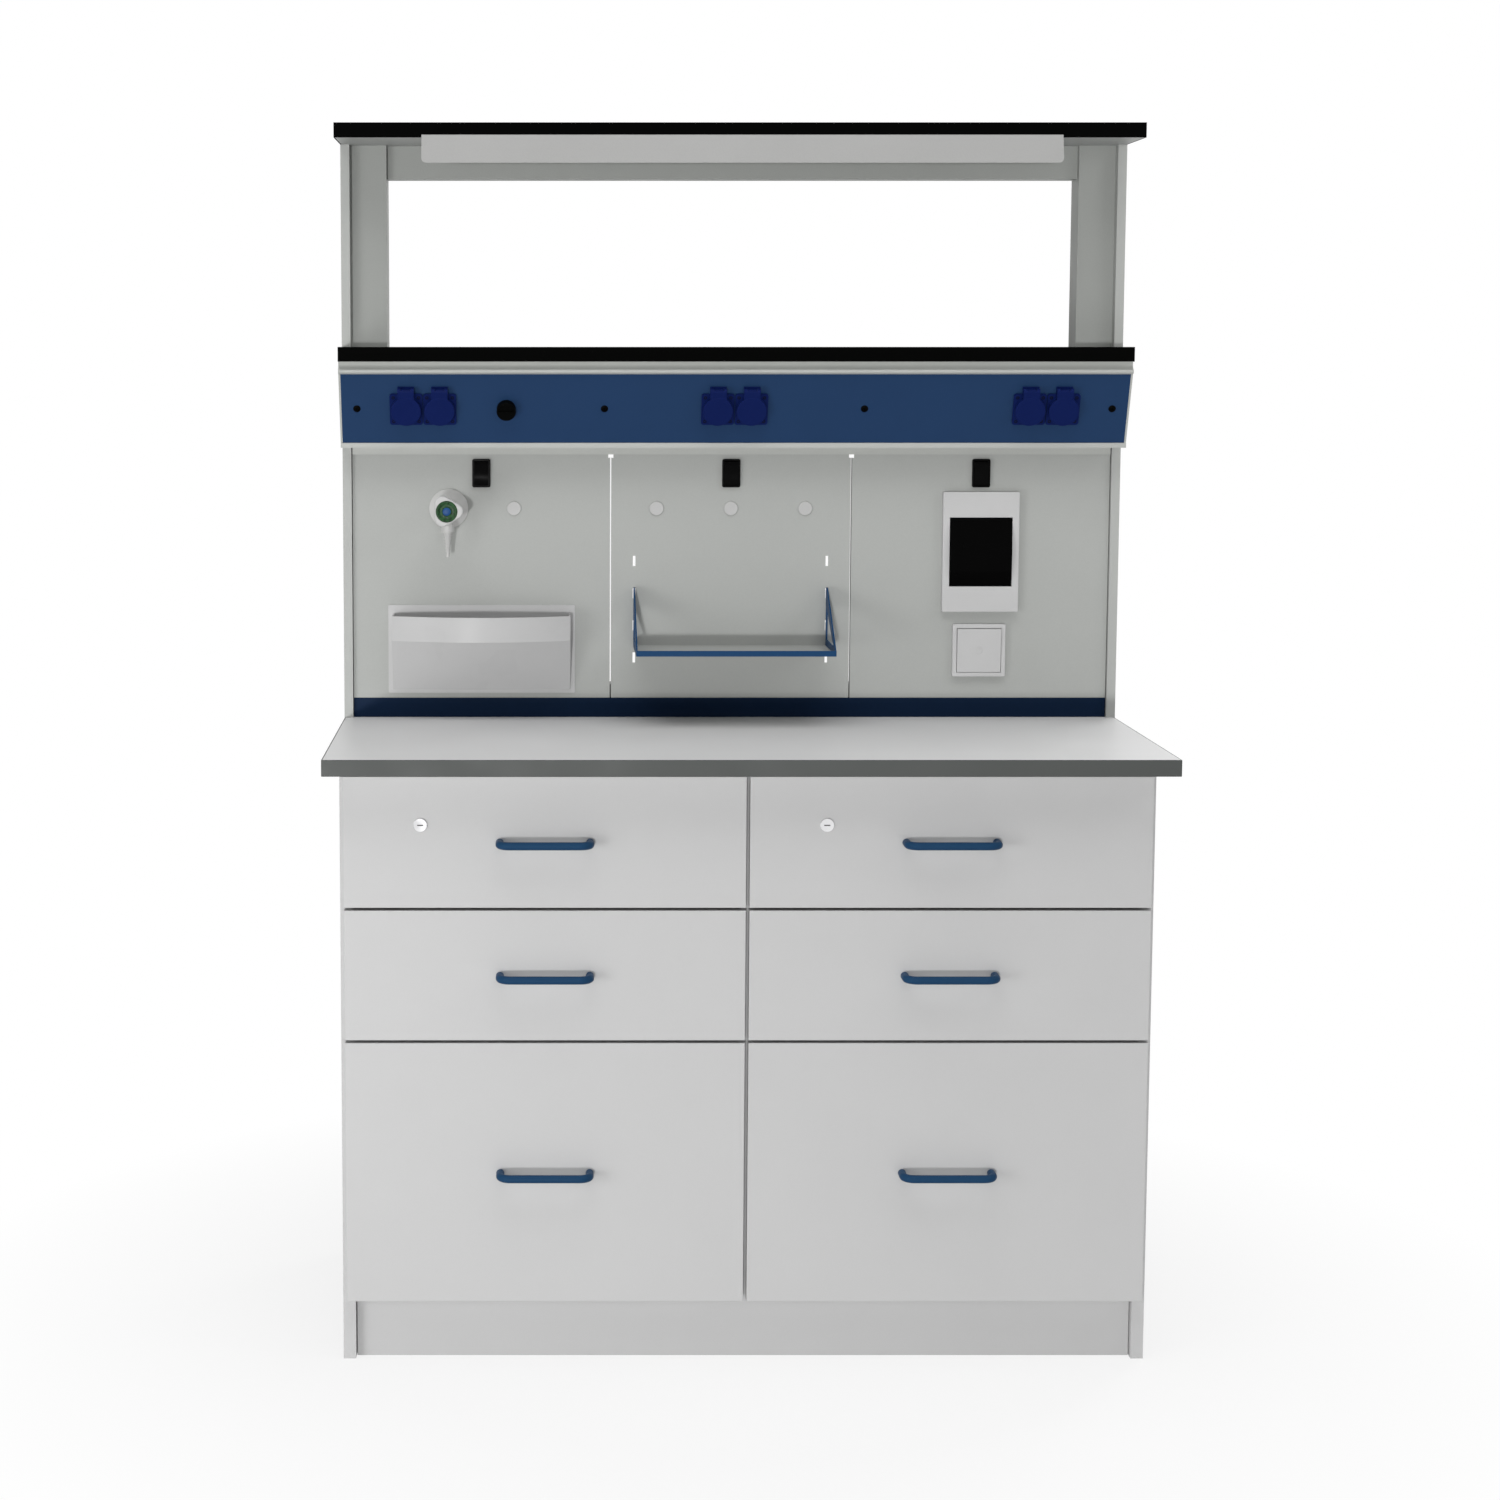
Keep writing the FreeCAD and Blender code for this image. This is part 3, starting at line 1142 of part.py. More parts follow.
def breaker_box():
    """Proud frame with a door opening, on a box sunk behind the panel."""
    frame = plate(BREAKER_WIDTH, BREAKER_HEIGHT, (0, BREAKER_PROUD), BREAKER_CORNER)
    frame = rounded_at(frame, EDGE_ROUND, 2, BREAKER_PROUD)
    box = plate(BREAKER_BOX_WIDTH, BREAKER_BOX_HEIGHT, (-BREAKER_BOX_DEPTH, 0))
    wall = 2 * BREAKER_BOX_WALL
    cavity = plate(BREAKER_BOX_WIDTH - wall, BREAKER_BOX_HEIGHT - wall, (BREAKER_BOX_WALL - BREAKER_BOX_DEPTH, 0))
    opening = plate(DOOR_WIDTH + 2 * DOOR_GAP, DOOR_HEIGHT + 2 * DOOR_GAP, (0, BREAKER_PROUD))
    pin_length = DOOR_WIDTH + 2 * (DOOR_GAP + PIVOT_REACH + PIVOT_END_GAP)
    pins = bar_x(DOOR_PIN_RADIUS + TURN_FIT, pin_length, door_hinge_y(), DOOR_HINGE_STANDOFF)
    return frame.fuse(box).cut([cavity, opening, pins]).removeSplitter()


def door_hinge_y():
    return DOOR_HEIGHT / 2 - DOOR_HINGE_INSET


def breaker_door():
    """Bowed window door with closed ends, a knuckle along its top edge and a stub pin at each end."""
    half = DOOR_HEIGHT / 2
    x = -DOOR_WIDTH / 2
    inner = DOOR_EDGE - DOOR_SHEET
    top_inner = V(x, half, inner)
    low_inner = V(x, -half, inner)
    outer_arc = Part.Arc(V(x, -half, DOOR_EDGE), V(x, 0, DOOR_EDGE + DOOR_BULGE), V(x, half, DOOR_EDGE)).toShape()
    inner_arc = Part.Arc(top_inner, V(x, 0, inner + DOOR_BULGE), low_inner).toShape()
    ends = [Part.LineSegment(V(x, half, DOOR_EDGE), top_inner).toShape(),
            Part.LineSegment(low_inner, V(x, -half, DOOR_EDGE)).toShape()]
    chord = Part.LineSegment(low_inner, top_inner).toShape()
    sheet = Part.Face(Part.Wire([outer_arc, ends[0], inner_arc, ends[1]])).extrude(V(DOOR_WIDTH, 0, 0))
    cheek = Part.Face(Part.Wire([inner_arc, chord])).extrude(V(DOOR_SHEET, 0, 0))
    knuckle = bar_x(DOOR_KNUCKLE_RADIUS, DOOR_WIDTH, door_hinge_y(), DOOR_HINGE_STANDOFF)
    pins = bar_x(DOOR_PIN_RADIUS, DOOR_WIDTH + 2 * (DOOR_GAP + PIVOT_REACH), door_hinge_y(), DOOR_HINGE_STANDOFF)
    return sheet.fuse([cheek, mirrored(cheek), knuckle, pins]).removeSplitter()


def circuit_breaker():
    """Stepped breaker body with its toggle."""
    rear = BREAKER_BOX_WALL - BREAKER_BOX_DEPTH
    width = BREAKER_PITCH - BREAKER_SIDE_GAP
    nose = rear + BREAKER_NOSE_DEPTH
    body = plate(width, BREAKER_BODY_HEIGHT, (rear, rear + BREAKER_BODY_DEPTH))
    front = plate(width, BREAKER_NOSE_HEIGHT, (rear, nose))
    toggle = moved(plate(TOGGLE_WIDTH, TOGGLE_HEIGHT, (nose, nose + TOGGLE_REACH)), 0, TOGGLE_RISE)
    return body.fuse([front, toggle]).removeSplitter()


def make_breaker_box():
    first = -BREAKER_PITCH * (BREAKER_COUNT - 1) / 2
    breakers = [moved(circuit_breaker(), first + number * BREAKER_PITCH) for number in range(BREAKER_COUNT)]
    save("breaker_box", on_wall(breaker_box(), side_panel_x, BREAKER_DROP))
    save("breakers", *[on_wall(breaker, side_panel_x, BREAKER_DROP) for breaker in breakers])
    save("breaker_door", on_wall(breaker_door(), side_panel_x, BREAKER_DROP))


# Wall switch

def wall_switch_frame():
    opening = WALL_SWITCH_SIZE - 2 * WALL_SWITCH_RIM
    frame = plate(WALL_SWITCH_SIZE, WALL_SWITCH_SIZE, (0, WALL_SWITCH_PROUD), WALL_SWITCH_CORNER)
    frame = rounded_at(frame, EDGE_ROUND, 2, WALL_SWITCH_PROUD)
    pocket = plate(opening, opening, (WALL_SWITCH_FLOOR, WALL_SWITCH_PROUD))
    pivot = bar_x(PIVOT_RADIUS + TURN_FIT, opening + 2 * (PIVOT_REACH + PIVOT_END_GAP), 0, KEY_PIVOT)
    insert = disc(WALL_SWITCH_BACK_RADIUS, (-WALL_SWITCH_BACK_DEPTH, 0))
    return frame.cut([pocket, pivot]).fuse(insert).removeSplitter()


def wall_switch_key():
    """Broad rocking key with a keeled underside and a dimple, at rest with its lower half pressed."""
    opening = WALL_SWITCH_SIZE - 2 * WALL_SWITCH_RIM
    half = opening / 2 - KEY_GAP
    key = across([(-half, KEY_UNDER + KEY_KEEL), (0, KEY_UNDER), (half, KEY_UNDER + KEY_KEEL),
                  (half, KEY_TOP), (-half, KEY_TOP)], (-half, half))
    key = rounded_at(key, EDGE_ROUND, 2, KEY_TOP)
    dimple = disc(KEY_DIMPLE_RADIUS, (KEY_TOP - KEY_DIMPLE_DEPTH, KEY_TOP))
    pins = bar_x(PIVOT_RADIUS, opening + 2 * PIVOT_REACH, 0, KEY_PIVOT)
    key = key.cut(dimple).fuse(pins).removeSplitter()
    return key.rotated(V(0, 0, KEY_PIVOT), V(1, 0, 0), KEY_TILT)


def make_wall_switch():
    save("wall_switch_frame", on_wall(wall_switch_frame(), side_panel_x, WALL_SWITCH_DROP))
    save("wall_switch_key", on_wall(wall_switch_key(), side_panel_x, WALL_SWITCH_DROP))


make_cabinet()
make_worktop()
make_drawers()
make_frame()
make_shelves()
make_lamp()
make_casing()
make_slope_fittings()
make_panels()
make_rockers()
make_fittings()
make_pocket()
make_bracket_shelf()
make_breaker_box()
make_wall_switch()
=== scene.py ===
import math

import bmesh
import bpy
from mathutils import Matrix, Vector


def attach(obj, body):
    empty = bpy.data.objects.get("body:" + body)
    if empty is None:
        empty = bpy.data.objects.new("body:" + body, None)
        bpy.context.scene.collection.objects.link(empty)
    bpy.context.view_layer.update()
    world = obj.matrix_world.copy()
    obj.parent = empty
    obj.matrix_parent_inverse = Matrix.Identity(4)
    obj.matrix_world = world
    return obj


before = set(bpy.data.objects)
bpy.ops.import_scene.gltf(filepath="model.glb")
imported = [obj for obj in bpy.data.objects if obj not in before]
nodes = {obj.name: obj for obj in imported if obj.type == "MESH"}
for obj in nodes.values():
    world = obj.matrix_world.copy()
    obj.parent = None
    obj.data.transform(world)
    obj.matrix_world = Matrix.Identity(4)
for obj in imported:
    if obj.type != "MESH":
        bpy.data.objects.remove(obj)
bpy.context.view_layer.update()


# Base cabinet: sides, divider, floor, back, plinth and top rails of 18 mm chipboard faced with
# light-grey melamine. The boards are dowelled and glued; their faces have a fine pearl structure.

def new_group(name, inputs, outputs):
    """A shader node group with the given float or colour sockets."""
    group = bpy.data.node_groups.new(name, "ShaderNodeTree")
    kinds = {"float": "NodeSocketFloat", "colour": "NodeSocketColor"}
    for label, kind in inputs:
        group.interface.new_socket(label, in_out="INPUT", socket_type=kinds[kind])
    for label, kind in outputs:
        group.interface.new_socket(label, in_out="OUTPUT", socket_type=kinds[kind])
    return group


def add_noise(group, coordinates, scale, detail):
    """The value of a noise over the given coordinates."""
    noise = group.nodes.new("ShaderNodeTexNoise")
    noise.inputs["Scale"].default_value = scale
    noise.inputs["Detail"].default_value = detail
    group.links.new(coordinates, noise.inputs["Vector"])
    return noise.outputs["Fac"]


NOISE_LOW = 0.3
NOISE_HIGH = 0.7


def add_range(group, value, low, high):
    """Carry a noise value, from its usual low to its usual high, to a range."""
    spread = group.nodes.new("ShaderNodeMapRange")
    spread.inputs["From Min"].default_value = NOISE_LOW
    spread.inputs["From Max"].default_value = NOISE_HIGH
    spread.inputs["To Min"].default_value = low
    spread.inputs["To Max"].default_value = high
    group.links.new(value, spread.inputs["Value"])
    return spread.outputs["Result"]


def add_math(group, operation, first, second):
    """The result of one operation on two sockets."""
    step = group.nodes.new("ShaderNodeMath")
    step.operation = operation
    group.links.new(first, step.inputs[0])
    group.links.new(second, step.inputs[1])
    return step.outputs["Value"]


def surface_group(name, fine_scale, cloud_scale, tone, rough_spread, stretch=(1.0, 1.0, 1.0)):
    """Colour, roughness and height of a finish: a fine structure over slow clouds of tone."""
    group = new_group(name, [("Colour", "colour"), ("Roughness", "float")],
                      [("Colour", "colour"), ("Roughness", "float"), ("Height", "float")])
    given = group.nodes.new("NodeGroupInput")
    made = group.nodes.new("NodeGroupOutput")
    place = group.nodes.new("ShaderNodeTexCoord")
    squeeze = group.nodes.new("ShaderNodeMapping")
    squeeze.inputs["Scale"].default_value = stretch
    group.links.new(place.outputs["Object"], squeeze.inputs["Vector"])
    fine = add_noise(group, squeeze.outputs["Vector"], fine_scale, detail=3.0)
    cloud = add_noise(group, squeeze.outputs["Vector"], cloud_scale, detail=2.0)
    grain = add_range(group, fine, -tone, tone)
    drift = add_range(group, cloud, 1.0 - tone, 1.0 + tone)
    shade = group.nodes.new("ShaderNodeHueSaturation")
    group.links.new(given.outputs["Colour"], shade.inputs["Color"])
    group.links.new(add_math(group, "ADD", grain, drift), shade.inputs["Value"])
    smudge = add_range(group, cloud, -rough_spread, rough_spread)
    rough = add_math(group, "ADD", given.outputs["Roughness"], smudge)
    group.links.new(shade.outputs["Color"], made.inputs["Colour"])
    group.links.new(rough, made.inputs["Roughness"])
    group.links.new(fine, made.inputs["Height"])
    return group


RELIEF_DEPTH = 0.0004


def finish(name, group, colour, roughness, bump, metallic=0.0, specular=0.5):
    """A material whose colour, roughness and height come from one of the finish groups."""
    material = bpy.data.materials.new(name)
    material.use_nodes = True
    tree = material.node_tree
    shader = tree.nodes["Principled BSDF"]
    shader.inputs["Metallic"].default_value = metallic
    shader.inputs["Specular IOR Level"].default_value = specular
    effect = tree.nodes.new("ShaderNodeGroup")
    effect.node_tree = group
    effect.inputs["Colour"].default_value = (*colour, 1.0)
    effect.inputs["Roughness"].default_value = roughness
    relief = tree.nodes.new("ShaderNodeBump")
    relief.inputs["Strength"].default_value = bump
    relief.inputs["Distance"].default_value = RELIEF_DEPTH
    tree.links.new(effect.outputs["Colour"], shader.inputs["Base Color"])
    tree.links.new(effect.outputs["Roughness"], shader.inputs["Roughness"])
    tree.links.new(effect.outputs["Height"], relief.inputs["Height"])
    tree.links.new(relief.outputs["Normal"], shader.inputs["Normal"])
    return material


def dress(material, *names):
    """Give CAD nodes a material in place of their packed one."""
    for name in names:
        mesh = nodes[name].data
        mesh.materials.clear()
        mesh.materials.append(material)


faced_board = surface_group("faced_board", fine_scale=900.0, cloud_scale=6.0,
                            tone=0.012, rough_spread=0.03)
cabinet_board = finish("cabinet_board", faced_board, (0.55, 0.55, 0.55),
                       roughness=0.5, bump=0.12, specular=0.25)
dress(cabinet_board, "cabinet_sides", "cabinet_divider", "cabinet_floor", "cabinet_back", "plinth_board",
      "cabinet_top_rails")


# Runner channels and rollers on the cabinet's walls: roll-formed zinc-plated steel with a rolled
# grain along its length, screwed to the boards.

rolled_steel = surface_group("rolled_steel", fine_scale=500.0, cloud_scale=30.0,
                             tone=0.05, rough_spread=0.08, stretch=(1.0, 0.03, 1.0))
runner_steel = finish("runner_steel", rolled_steel, (0.62, 0.63, 0.64),
                      roughness=0.34, bump=0.08, metallic=1.0)
dress(runner_steel, "cabinet_runners")


# Drawers: light-grey faced fronts with matching edge bands, screwed to boxes of the same board that
# run on rollers.

ROWS = ("bottom", "middle", "top")
COLUMNS = ("left", "right")
PLACES = [row + "_" + column for column in COLUMNS for row in ROWS]
drawer_board = finish("drawer_board", faced_board, (0.55, 0.55, 0.55),
                      roughness=0.45, bump=0.12, specular=0.25)
dress(drawer_board, *["drawer_" + place for place in PLACES])


# Drawer handles: round steel bar bent to a bow, coated blue with a slight orange peel and screwed
# from behind the fronts.

powder_coat = surface_group("powder_coat", fine_scale=420.0, cloud_scale=9.0,
                            tone=0.015, rough_spread=0.04)
handle_blue = finish("handle_blue", powder_coat, (0.011, 0.048, 0.112),
                     roughness=0.42, bump=0.2, specular=0.08)
dress(handle_blue, *["handle_" + place for place in PLACES])


# Cam locks of the top drawers: chromed zinc barrels held by a nut behind the front. A dark plate at the
# bottom of each key slot is painted shade, standing in for the shade inside the slot.

WALL_UP = Vector((0.0, 0.0, 1.0))
WALL_OUT = Vector((0.0, -1.0, 0.0))
LOCK_PLACES = {"left": -0.4645, "right": 0.1115}
LOCK_HEIGHT = 0.787
KEYWAY_FLOOR = -0.2477
# size of the dark plate that paints the shade inside each key slot
KEYWAY_SHADE_PLATE = (0.0086, 0.0015, 0.0009)
SOFT_EDGE_SHARE = 0.2
SHARP_FROM = math.radians(35.0)


def facing(origin, up, out):
    """The placement of a form drawn flat, X to the right, Y up and Z out of its seat."""
    axes = Matrix((up.cross(out), up, out)).transposed().to_4x4()
    return Matrix.Translation(origin) @ axes


def block(width, height, depth):
    """A box centred on local X and Y that stands on Z = 0, with softened edges."""
    form = bmesh.new()
    bmesh.ops.create_cube(form, size=1.0)
    bmesh.ops.translate(form, vec=(0.0, 0.0, 0.5), verts=form.verts)
    bmesh.ops.scale(form, vec=(width, height, depth), verts=form.verts)
    bmesh.ops.bevel(form, geom=form.edges[:], offset=min(width, height, depth) * SOFT_EDGE_SHARE,
                    affect="EDGES", segments=2, profile=0.5, material=-1)
    return form


def assemble(name, placed_forms, material, body):
    """One piece that rides a body, from forms with their placements."""
    whole = bmesh.new()
    for form, place in placed_forms:
        single = bpy.data.meshes.new(name + "_single")
        form.to_mesh(single)
        form.free()
        single.transform(place)
        whole.from_mesh(single)
        bpy.data.meshes.remove(single)
    mesh = bpy.data.meshes.new(name)
    whole.to_mesh(mesh)
    whole.free()
    for face in mesh.polygons:
        face.use_smooth = True
    mesh.set_sharp_from_angle(angle=SHARP_FROM)
    mesh.materials.append(material)
    piece = bpy.data.objects.new(name, mesh)
    bpy.context.scene.collection.objects.link(piece)
    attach(piece, body)


polished = surface_group("polished", fine_scale=1200.0, cloud_scale=40.0,
                         tone=0.02, rough_spread=0.05)
lock_chrome = finish("lock_chrome", polished, (0.76, 0.76, 0.77),
                     roughness=0.07, bump=0.0, metallic=1.0)
# dark plate at the bottom of the key slot: painted shade for the inside of the slot
keyway_painted_shade = finish("keyway_painted_shade", polished, (0.12, 0.12, 0.12),
                     roughness=0.5, bump=0.0, specular=0.2)
for side, lock_x in LOCK_PLACES.items():
    dress(lock_chrome, "lock_barrel_" + side)
    keyway = facing(Vector((lock_x, KEYWAY_FLOOR, LOCK_HEIGHT)), WALL_UP, WALL_OUT)
    assemble("keyway_" + side, [(block(*KEYWAY_SHADE_PLATE), keyway)], keyway_painted_shade, "lock_" + side)


# Worktop: chipboard core under matt light-grey laminate, its front and ends closed with a glued
# dark-grey plastic band.

moulded_skin = surface_group("moulded_skin", fine_scale=1600.0, cloud_scale=14.0,
                             tone=0.02, rough_spread=0.04)
worktop_laminate = finish("worktop_laminate", faced_board, (0.67, 0.67, 0.67),
                          roughness=0.42, bump=0.1, specular=0.3)
worktop_edge = finish("worktop_edge", moulded_skin, (0.046, 0.051, 0.048),
                      roughness=0.45, bump=0.15, specular=0.4)
dress(worktop_laminate, "worktop")
dress(worktop_edge, "worktop_edge_band")


# Uprights of the superstructure: grey faced boards outside, square steel posts and cross rails with
# a grey powder coat, bolted together.

upright_board = finish("upright_board", faced_board, (0.42, 0.43, 0.415),
                       roughness=0.48, bump=0.12, specular=0.25)
frame_metal = finish("frame_metal", powder_coat, (0.325, 0.335, 0.32),
                     roughness=0.48, bump=0.2, specular=0.25)
dress(upright_board, "upright_panels")
dress(frame_metal, "upright_posts", "cross_rails")


# Shelves: grey laminated boards with black plastic edge bands glued to the front and ends, screwed
# to the cross rails between the uprights.

shelf_board = finish("shelf_board", faced_board, (0.34, 0.35, 0.34),
                     roughness=0.45, bump=0.12, specular=0.25)
shelf_edge = finish("shelf_edge", moulded_skin, (0.0018, 0.0019, 0.0018),
                    roughness=0.6, bump=0.1, specular=0.005)
dress(shelf_board, "top_shelf", "middle_shelf")
dress(shelf_edge, "shelf_edge_bands")


# Lamp under the top shelf: light-grey housing folded from sheet and screwed up to the board, with an
# opal plastic lens let into its underside.

lamp_shell = finish("lamp_shell", powder_coat, (0.33, 0.33, 0.325),
                    roughness=0.42, bump=0.15, specular=0.25)
lamp_lens = finish("lamp_lens", moulded_skin, (0.78, 0.78, 0.76),
                   roughness=0.35, bump=0.08)
dress(lamp_shell, "lamp_housing")
dress(lamp_lens, "lamp_diffuser")


# Service casing under the middle shelf: folded light-grey casing with a cove and bead along the top,
# closed by a sloping blue panel that four black button screws hold.

SLOPE_RUN = 41.0
SLOPE_RISE = 104.3
SLOPE_LEAN = math.atan2(SLOPE_RUN, SLOPE_RISE)
SLOPE_UP = Vector((0.0, -math.sin(SLOPE_LEAN), math.cos(SLOPE_LEAN)))
SLOPE_OUT = Vector((0.0, -math.cos(SLOPE_LEAN), -math.sin(SLOPE_LEAN)))
SLOPE_CENTRE = Vector((0.0, 0.107, 1.36785))
PANEL_SCREWS = (-0.5735, -0.1975, 0.1975, 0.5735)
BUTTON_HEAD = [(5.6, 0.0), (5.6, 0.5), (4.9, 1.2), (3.0, 1.7), (1.6, 1.8), (1.5, 0.6), (0.0, 0.5)]
MM_PER_M = 1000.0
MERGE_REACH = 1e-7


def on_slope(x):
    """The placement of a form on the middle line of the sloping panel."""
    return facing(SLOPE_CENTRE + Vector((x, 0.0, 0.0)), SLOPE_UP, SLOPE_OUT)


def turned(profile, steps):
    """A form turned about local Z from (radius, height) points in millimetres."""
    form = bmesh.new()
    points = [form.verts.new((radius / MM_PER_M, 0.0, height / MM_PER_M)) for radius, height in profile]
    lines = [form.edges.new(pair) for pair in zip(points, points[1:])]
    bmesh.ops.spin(form, geom=points + lines, cent=(0.0, 0.0, 0.0), axis=(0.0, 0.0, 1.0),
                   angle=2.0 * math.pi, steps=steps, use_merge=True)
    bmesh.ops.remove_doubles(form, verts=form.verts, dist=MERGE_REACH)
    bmesh.ops.recalc_face_normals(form, faces=form.faces)
    return form


casing_metal = finish("casing_metal", powder_coat, (0.44, 0.45, 0.43),
                      roughness=0.42, bump=0.18, specular=0.25)
blue_metal = finish("blue_metal", powder_coat, (0.0135, 0.0415, 0.110),
                    roughness=0.45, bump=0.18, specular=0.1)
black_screw = finish("black_screw", polished, (0.0012, 0.0012, 0.0012),
                     roughness=0.4, bump=0.05, specular=0.02)
dress(casing_metal, "service_casing")
dress(blue_metal, "service_panel")
button_screws = [(turned(BUTTON_HEAD, steps=24), on_slope(x)) for x in PANEL_SCREWS]
assemble("panel_screws", button_screws, black_screw, "table")


# Flap sockets: satin blue moulded bodies with sprung flaps. Each flange is held by four dark
# countersunk screws, and brass earth clips stand in the well under the flap.

SOCKET_PAIRS = (-0.473, 0.0, 0.473)
SOCKET_OFFSET = 0.0255
SOCKET_PLACES = [pair + side * SOCKET_OFFSET for pair in SOCKET_PAIRS for side in (-1, 1)]
FLANGE_SCREW = [(2.7, 3.9), (2.7, 4.08), (1.1, 4.08), (0.9, 3.6), (0.0, 3.6)]
FLANGE_SCREW_REACH = 0.0193
EARTH_CLIP = (0.0045, 0.0012, 0.0150)
EARTH_CLIP_REACH = 0.0186
EARTH_CLIP_FOOT = -0.0085


def flange_screws():
    """Four screws in the corners of each socket's flange."""
    screws = []
    for x in SOCKET_PLACES:
        for right in (-1, 1):
            for up in (-1, 1):
                step = Matrix.Translation((right * FLANGE_SCREW_REACH, up * FLANGE_SCREW_REACH, 0.0))
                screws.append((turned(FLANGE_SCREW, steps=16), on_slope(x) @ step))
    return screws


def earth_clips():
    """One clip above and one below in each socket's well."""
    clips = []
    for x in SOCKET_PLACES:
        for up in (-1, 1):
            step = Matrix.Translation((0.0, up * EARTH_CLIP_REACH, EARTH_CLIP_FOOT))
            clips.append((block(*EARTH_CLIP), on_slope(x) @ step))
    return clips


socket_blue = finish("socket_blue", moulded_skin, (0.0050, 0.0125, 0.082),
                     roughness=0.42, bump=0.12, specular=0.03)
dark_screw = finish("dark_screw", polished, (0.0030, 0.0045, 0.016),
                    roughness=0.4, bump=0.05, specular=0.05)
brass = finish("brass", rolled_steel, (0.55, 0.36, 0.14),
               roughness=0.3, bump=0.05, metallic=1.0)
dress(socket_blue, "socket_bodies")
for number in range(1, len(SOCKET_PLACES) + 1):
    dress(socket_blue, "socket_lid_%d" % number)
assemble("socket_flange_screws", flange_screws(), dark_screw, "table")
assemble("socket_earth_clips", earth_clips(), brass, "table")


# Rotary light knob: matt black plastic with a sunk upper half, pushed on its shaft. The rocker
# switches are glossy black plastic and snap into the infill panels.

knob_black = finish("knob_black", moulded_skin, (0.0012, 0.0013, 0.0012),
                    roughness=0.5, bump=0.3, specular=0.02)
rocker_black = finish("rocker_black", polished, (0.002, 0.002, 0.002),
                      roughness=0.16, bump=0.02, specular=0.03)
dress(knob_black, "light_knob")
dress(rocker_black, "switch_bezels", "rocker_left", "rocker_centre", "rocker_right")


# Infill panels: folded sheet cassettes hung between the uprights, light-grey powder coat, over a
# blue splash riser whose blue is darkened to paint the shade that falls on it. Grey plugs close the
# spare holes.

panel_metal = finish("panel_metal", powder_coat, (0.40, 0.41, 0.395),
                     roughness=0.48, bump=0.18, specular=0.2)
# the riser's blue paint is made darker than the panel's to paint the shade that falls on it
riser_blue_painted_shade = finish("riser_blue_painted_shade", powder_coat, (0.0065, 0.0175, 0.045),
                    roughness=0.45, bump=0.18, specular=0.03)
plug_plastic = finish("plug_plastic", moulded_skin, (0.47, 0.47, 0.465),
                      roughness=0.4, bump=0.1, specular=0.25)
dress(panel_metal, "infill_panel_left", "infill_panel_centre", "infill_panel_right")
dress(riser_blue_painted_shade, "splash_riser")
dress(plug_plastic, "blanking_plugs")


# Valve: epoxy-coated brass body with a barbed hose nozzle and a three-lobed white knob. A green
# disc with a plain blue centre cap is snapped into the knob's face.

VALVE_AXIS = Vector((-0.43675, 0.173, 1.213))
GREEN_DISC = [(16.4, 96.2), (16.4, 96.6), (15.8, 97.0), (13.4, 97.1), (12.8, 96.8), (7.4, 96.8),
              (6.6, 97.0), (6.2, 96.4)]
CENTRE_CAP = [(6.2, 96.2), (6.2, 97.1), (5.4, 97.5), (3.0, 97.7), (0.0, 97.75)]

mottle = surface_group("mottle", fine_scale=700.0, cloud_scale=260.0,
                       tone=0.5, rough_spread=0.15)
valve_enamel = finish("valve_enamel", powder_coat, (0.55, 0.55, 0.54),
                      roughness=0.32, bump=0.1, specular=0.25)
knob_white = finish("knob_white", moulded_skin, (0.51, 0.51, 0.505),
                    roughness=0.36, bump=0.06, specular=0.15)
disc_green = finish("disc_green", mottle, (0.015, 0.055, 0.018),
                    roughness=0.36, bump=0.3, specular=0.12)
cap_blue = finish("cap_blue", moulded_skin, (0.018, 0.070, 0.21),
                  roughness=0.35, bump=0.05, specular=0.1)
valve_place = facing(VALVE_AXIS, WALL_UP, WALL_OUT)
dress(valve_enamel, "valve_body")
dress(knob_white, "valve_knob")
assemble("valve_disc", [(turned(GREEN_DISC, steps=48), valve_place)], disc_green,
         "valve_knob")
assemble("valve_cap", [(turned(CENTRE_CAP, steps=32), valve_place)], cap_blue,
         "valve_knob")


# Wall pocket for small tools: vacuum-formed from white satin plastic, open at the top, and hung on the
# left infill panel by its flange.

pocket_white = finish("pocket_white", moulded_skin, (0.50, 0.50, 0.50),
                      roughness=0.28, bump=0.02, specular=0.08)
dress(pocket_white, "wall_pocket")


# Bracket shelf: two blue hook-in brackets joined by a front rail, with a light-grey sheet tray that
# lies between them.

bracket_blue = finish("bracket_blue", powder_coat, (0.005, 0.045, 0.127),
                      roughness=0.45, bump=0.18, specular=0.1)
tray_metal = finish("tray_metal", powder_coat, (0.40, 0.41, 0.395),
                    roughness=0.42, bump=0.18, specular=0.2)
dress(bracket_blue, "shelf_brackets")
dress(tray_metal, "shelf_tray")


# Breaker box: white moulded frame sunk into the panel, grey breakers, and a dark tinted door that
# swings up on stub pins.

box_white = finish("box_white", moulded_skin, (0.51, 0.51, 0.51),
                   roughness=0.38, bump=0.08, specular=0.3)
smoked_plastic = finish("smoked_plastic", polished, (0.0012, 0.0012, 0.0012),
                        roughness=0.1, bump=0.0, specular=0.02)
breaker_plastic = finish("breaker_plastic", moulded_skin, (0.5, 0.51, 0.5),
                         roughness=0.45, bump=0.1)
dress(box_white, "breaker_box")
dress(smoked_plastic, "breaker_door")
dress(breaker_plastic, "breakers")


# Wall switch: white moulded frame on the right infill panel, with a broad rocking key that has a round
# finger dimple and snaps into the frame.

switch_white = finish("switch_white", moulded_skin, (0.52, 0.52, 0.52),
                      roughness=0.34, bump=0.06, specular=0.3)
dress(switch_white, "wall_switch_frame", "wall_switch_key")


# Studio: a pale floor that keeps the table's shadow and fades to the white background, a far low
# key from the front left, soft lamps from both sides, above and behind, and the photograph's camera.

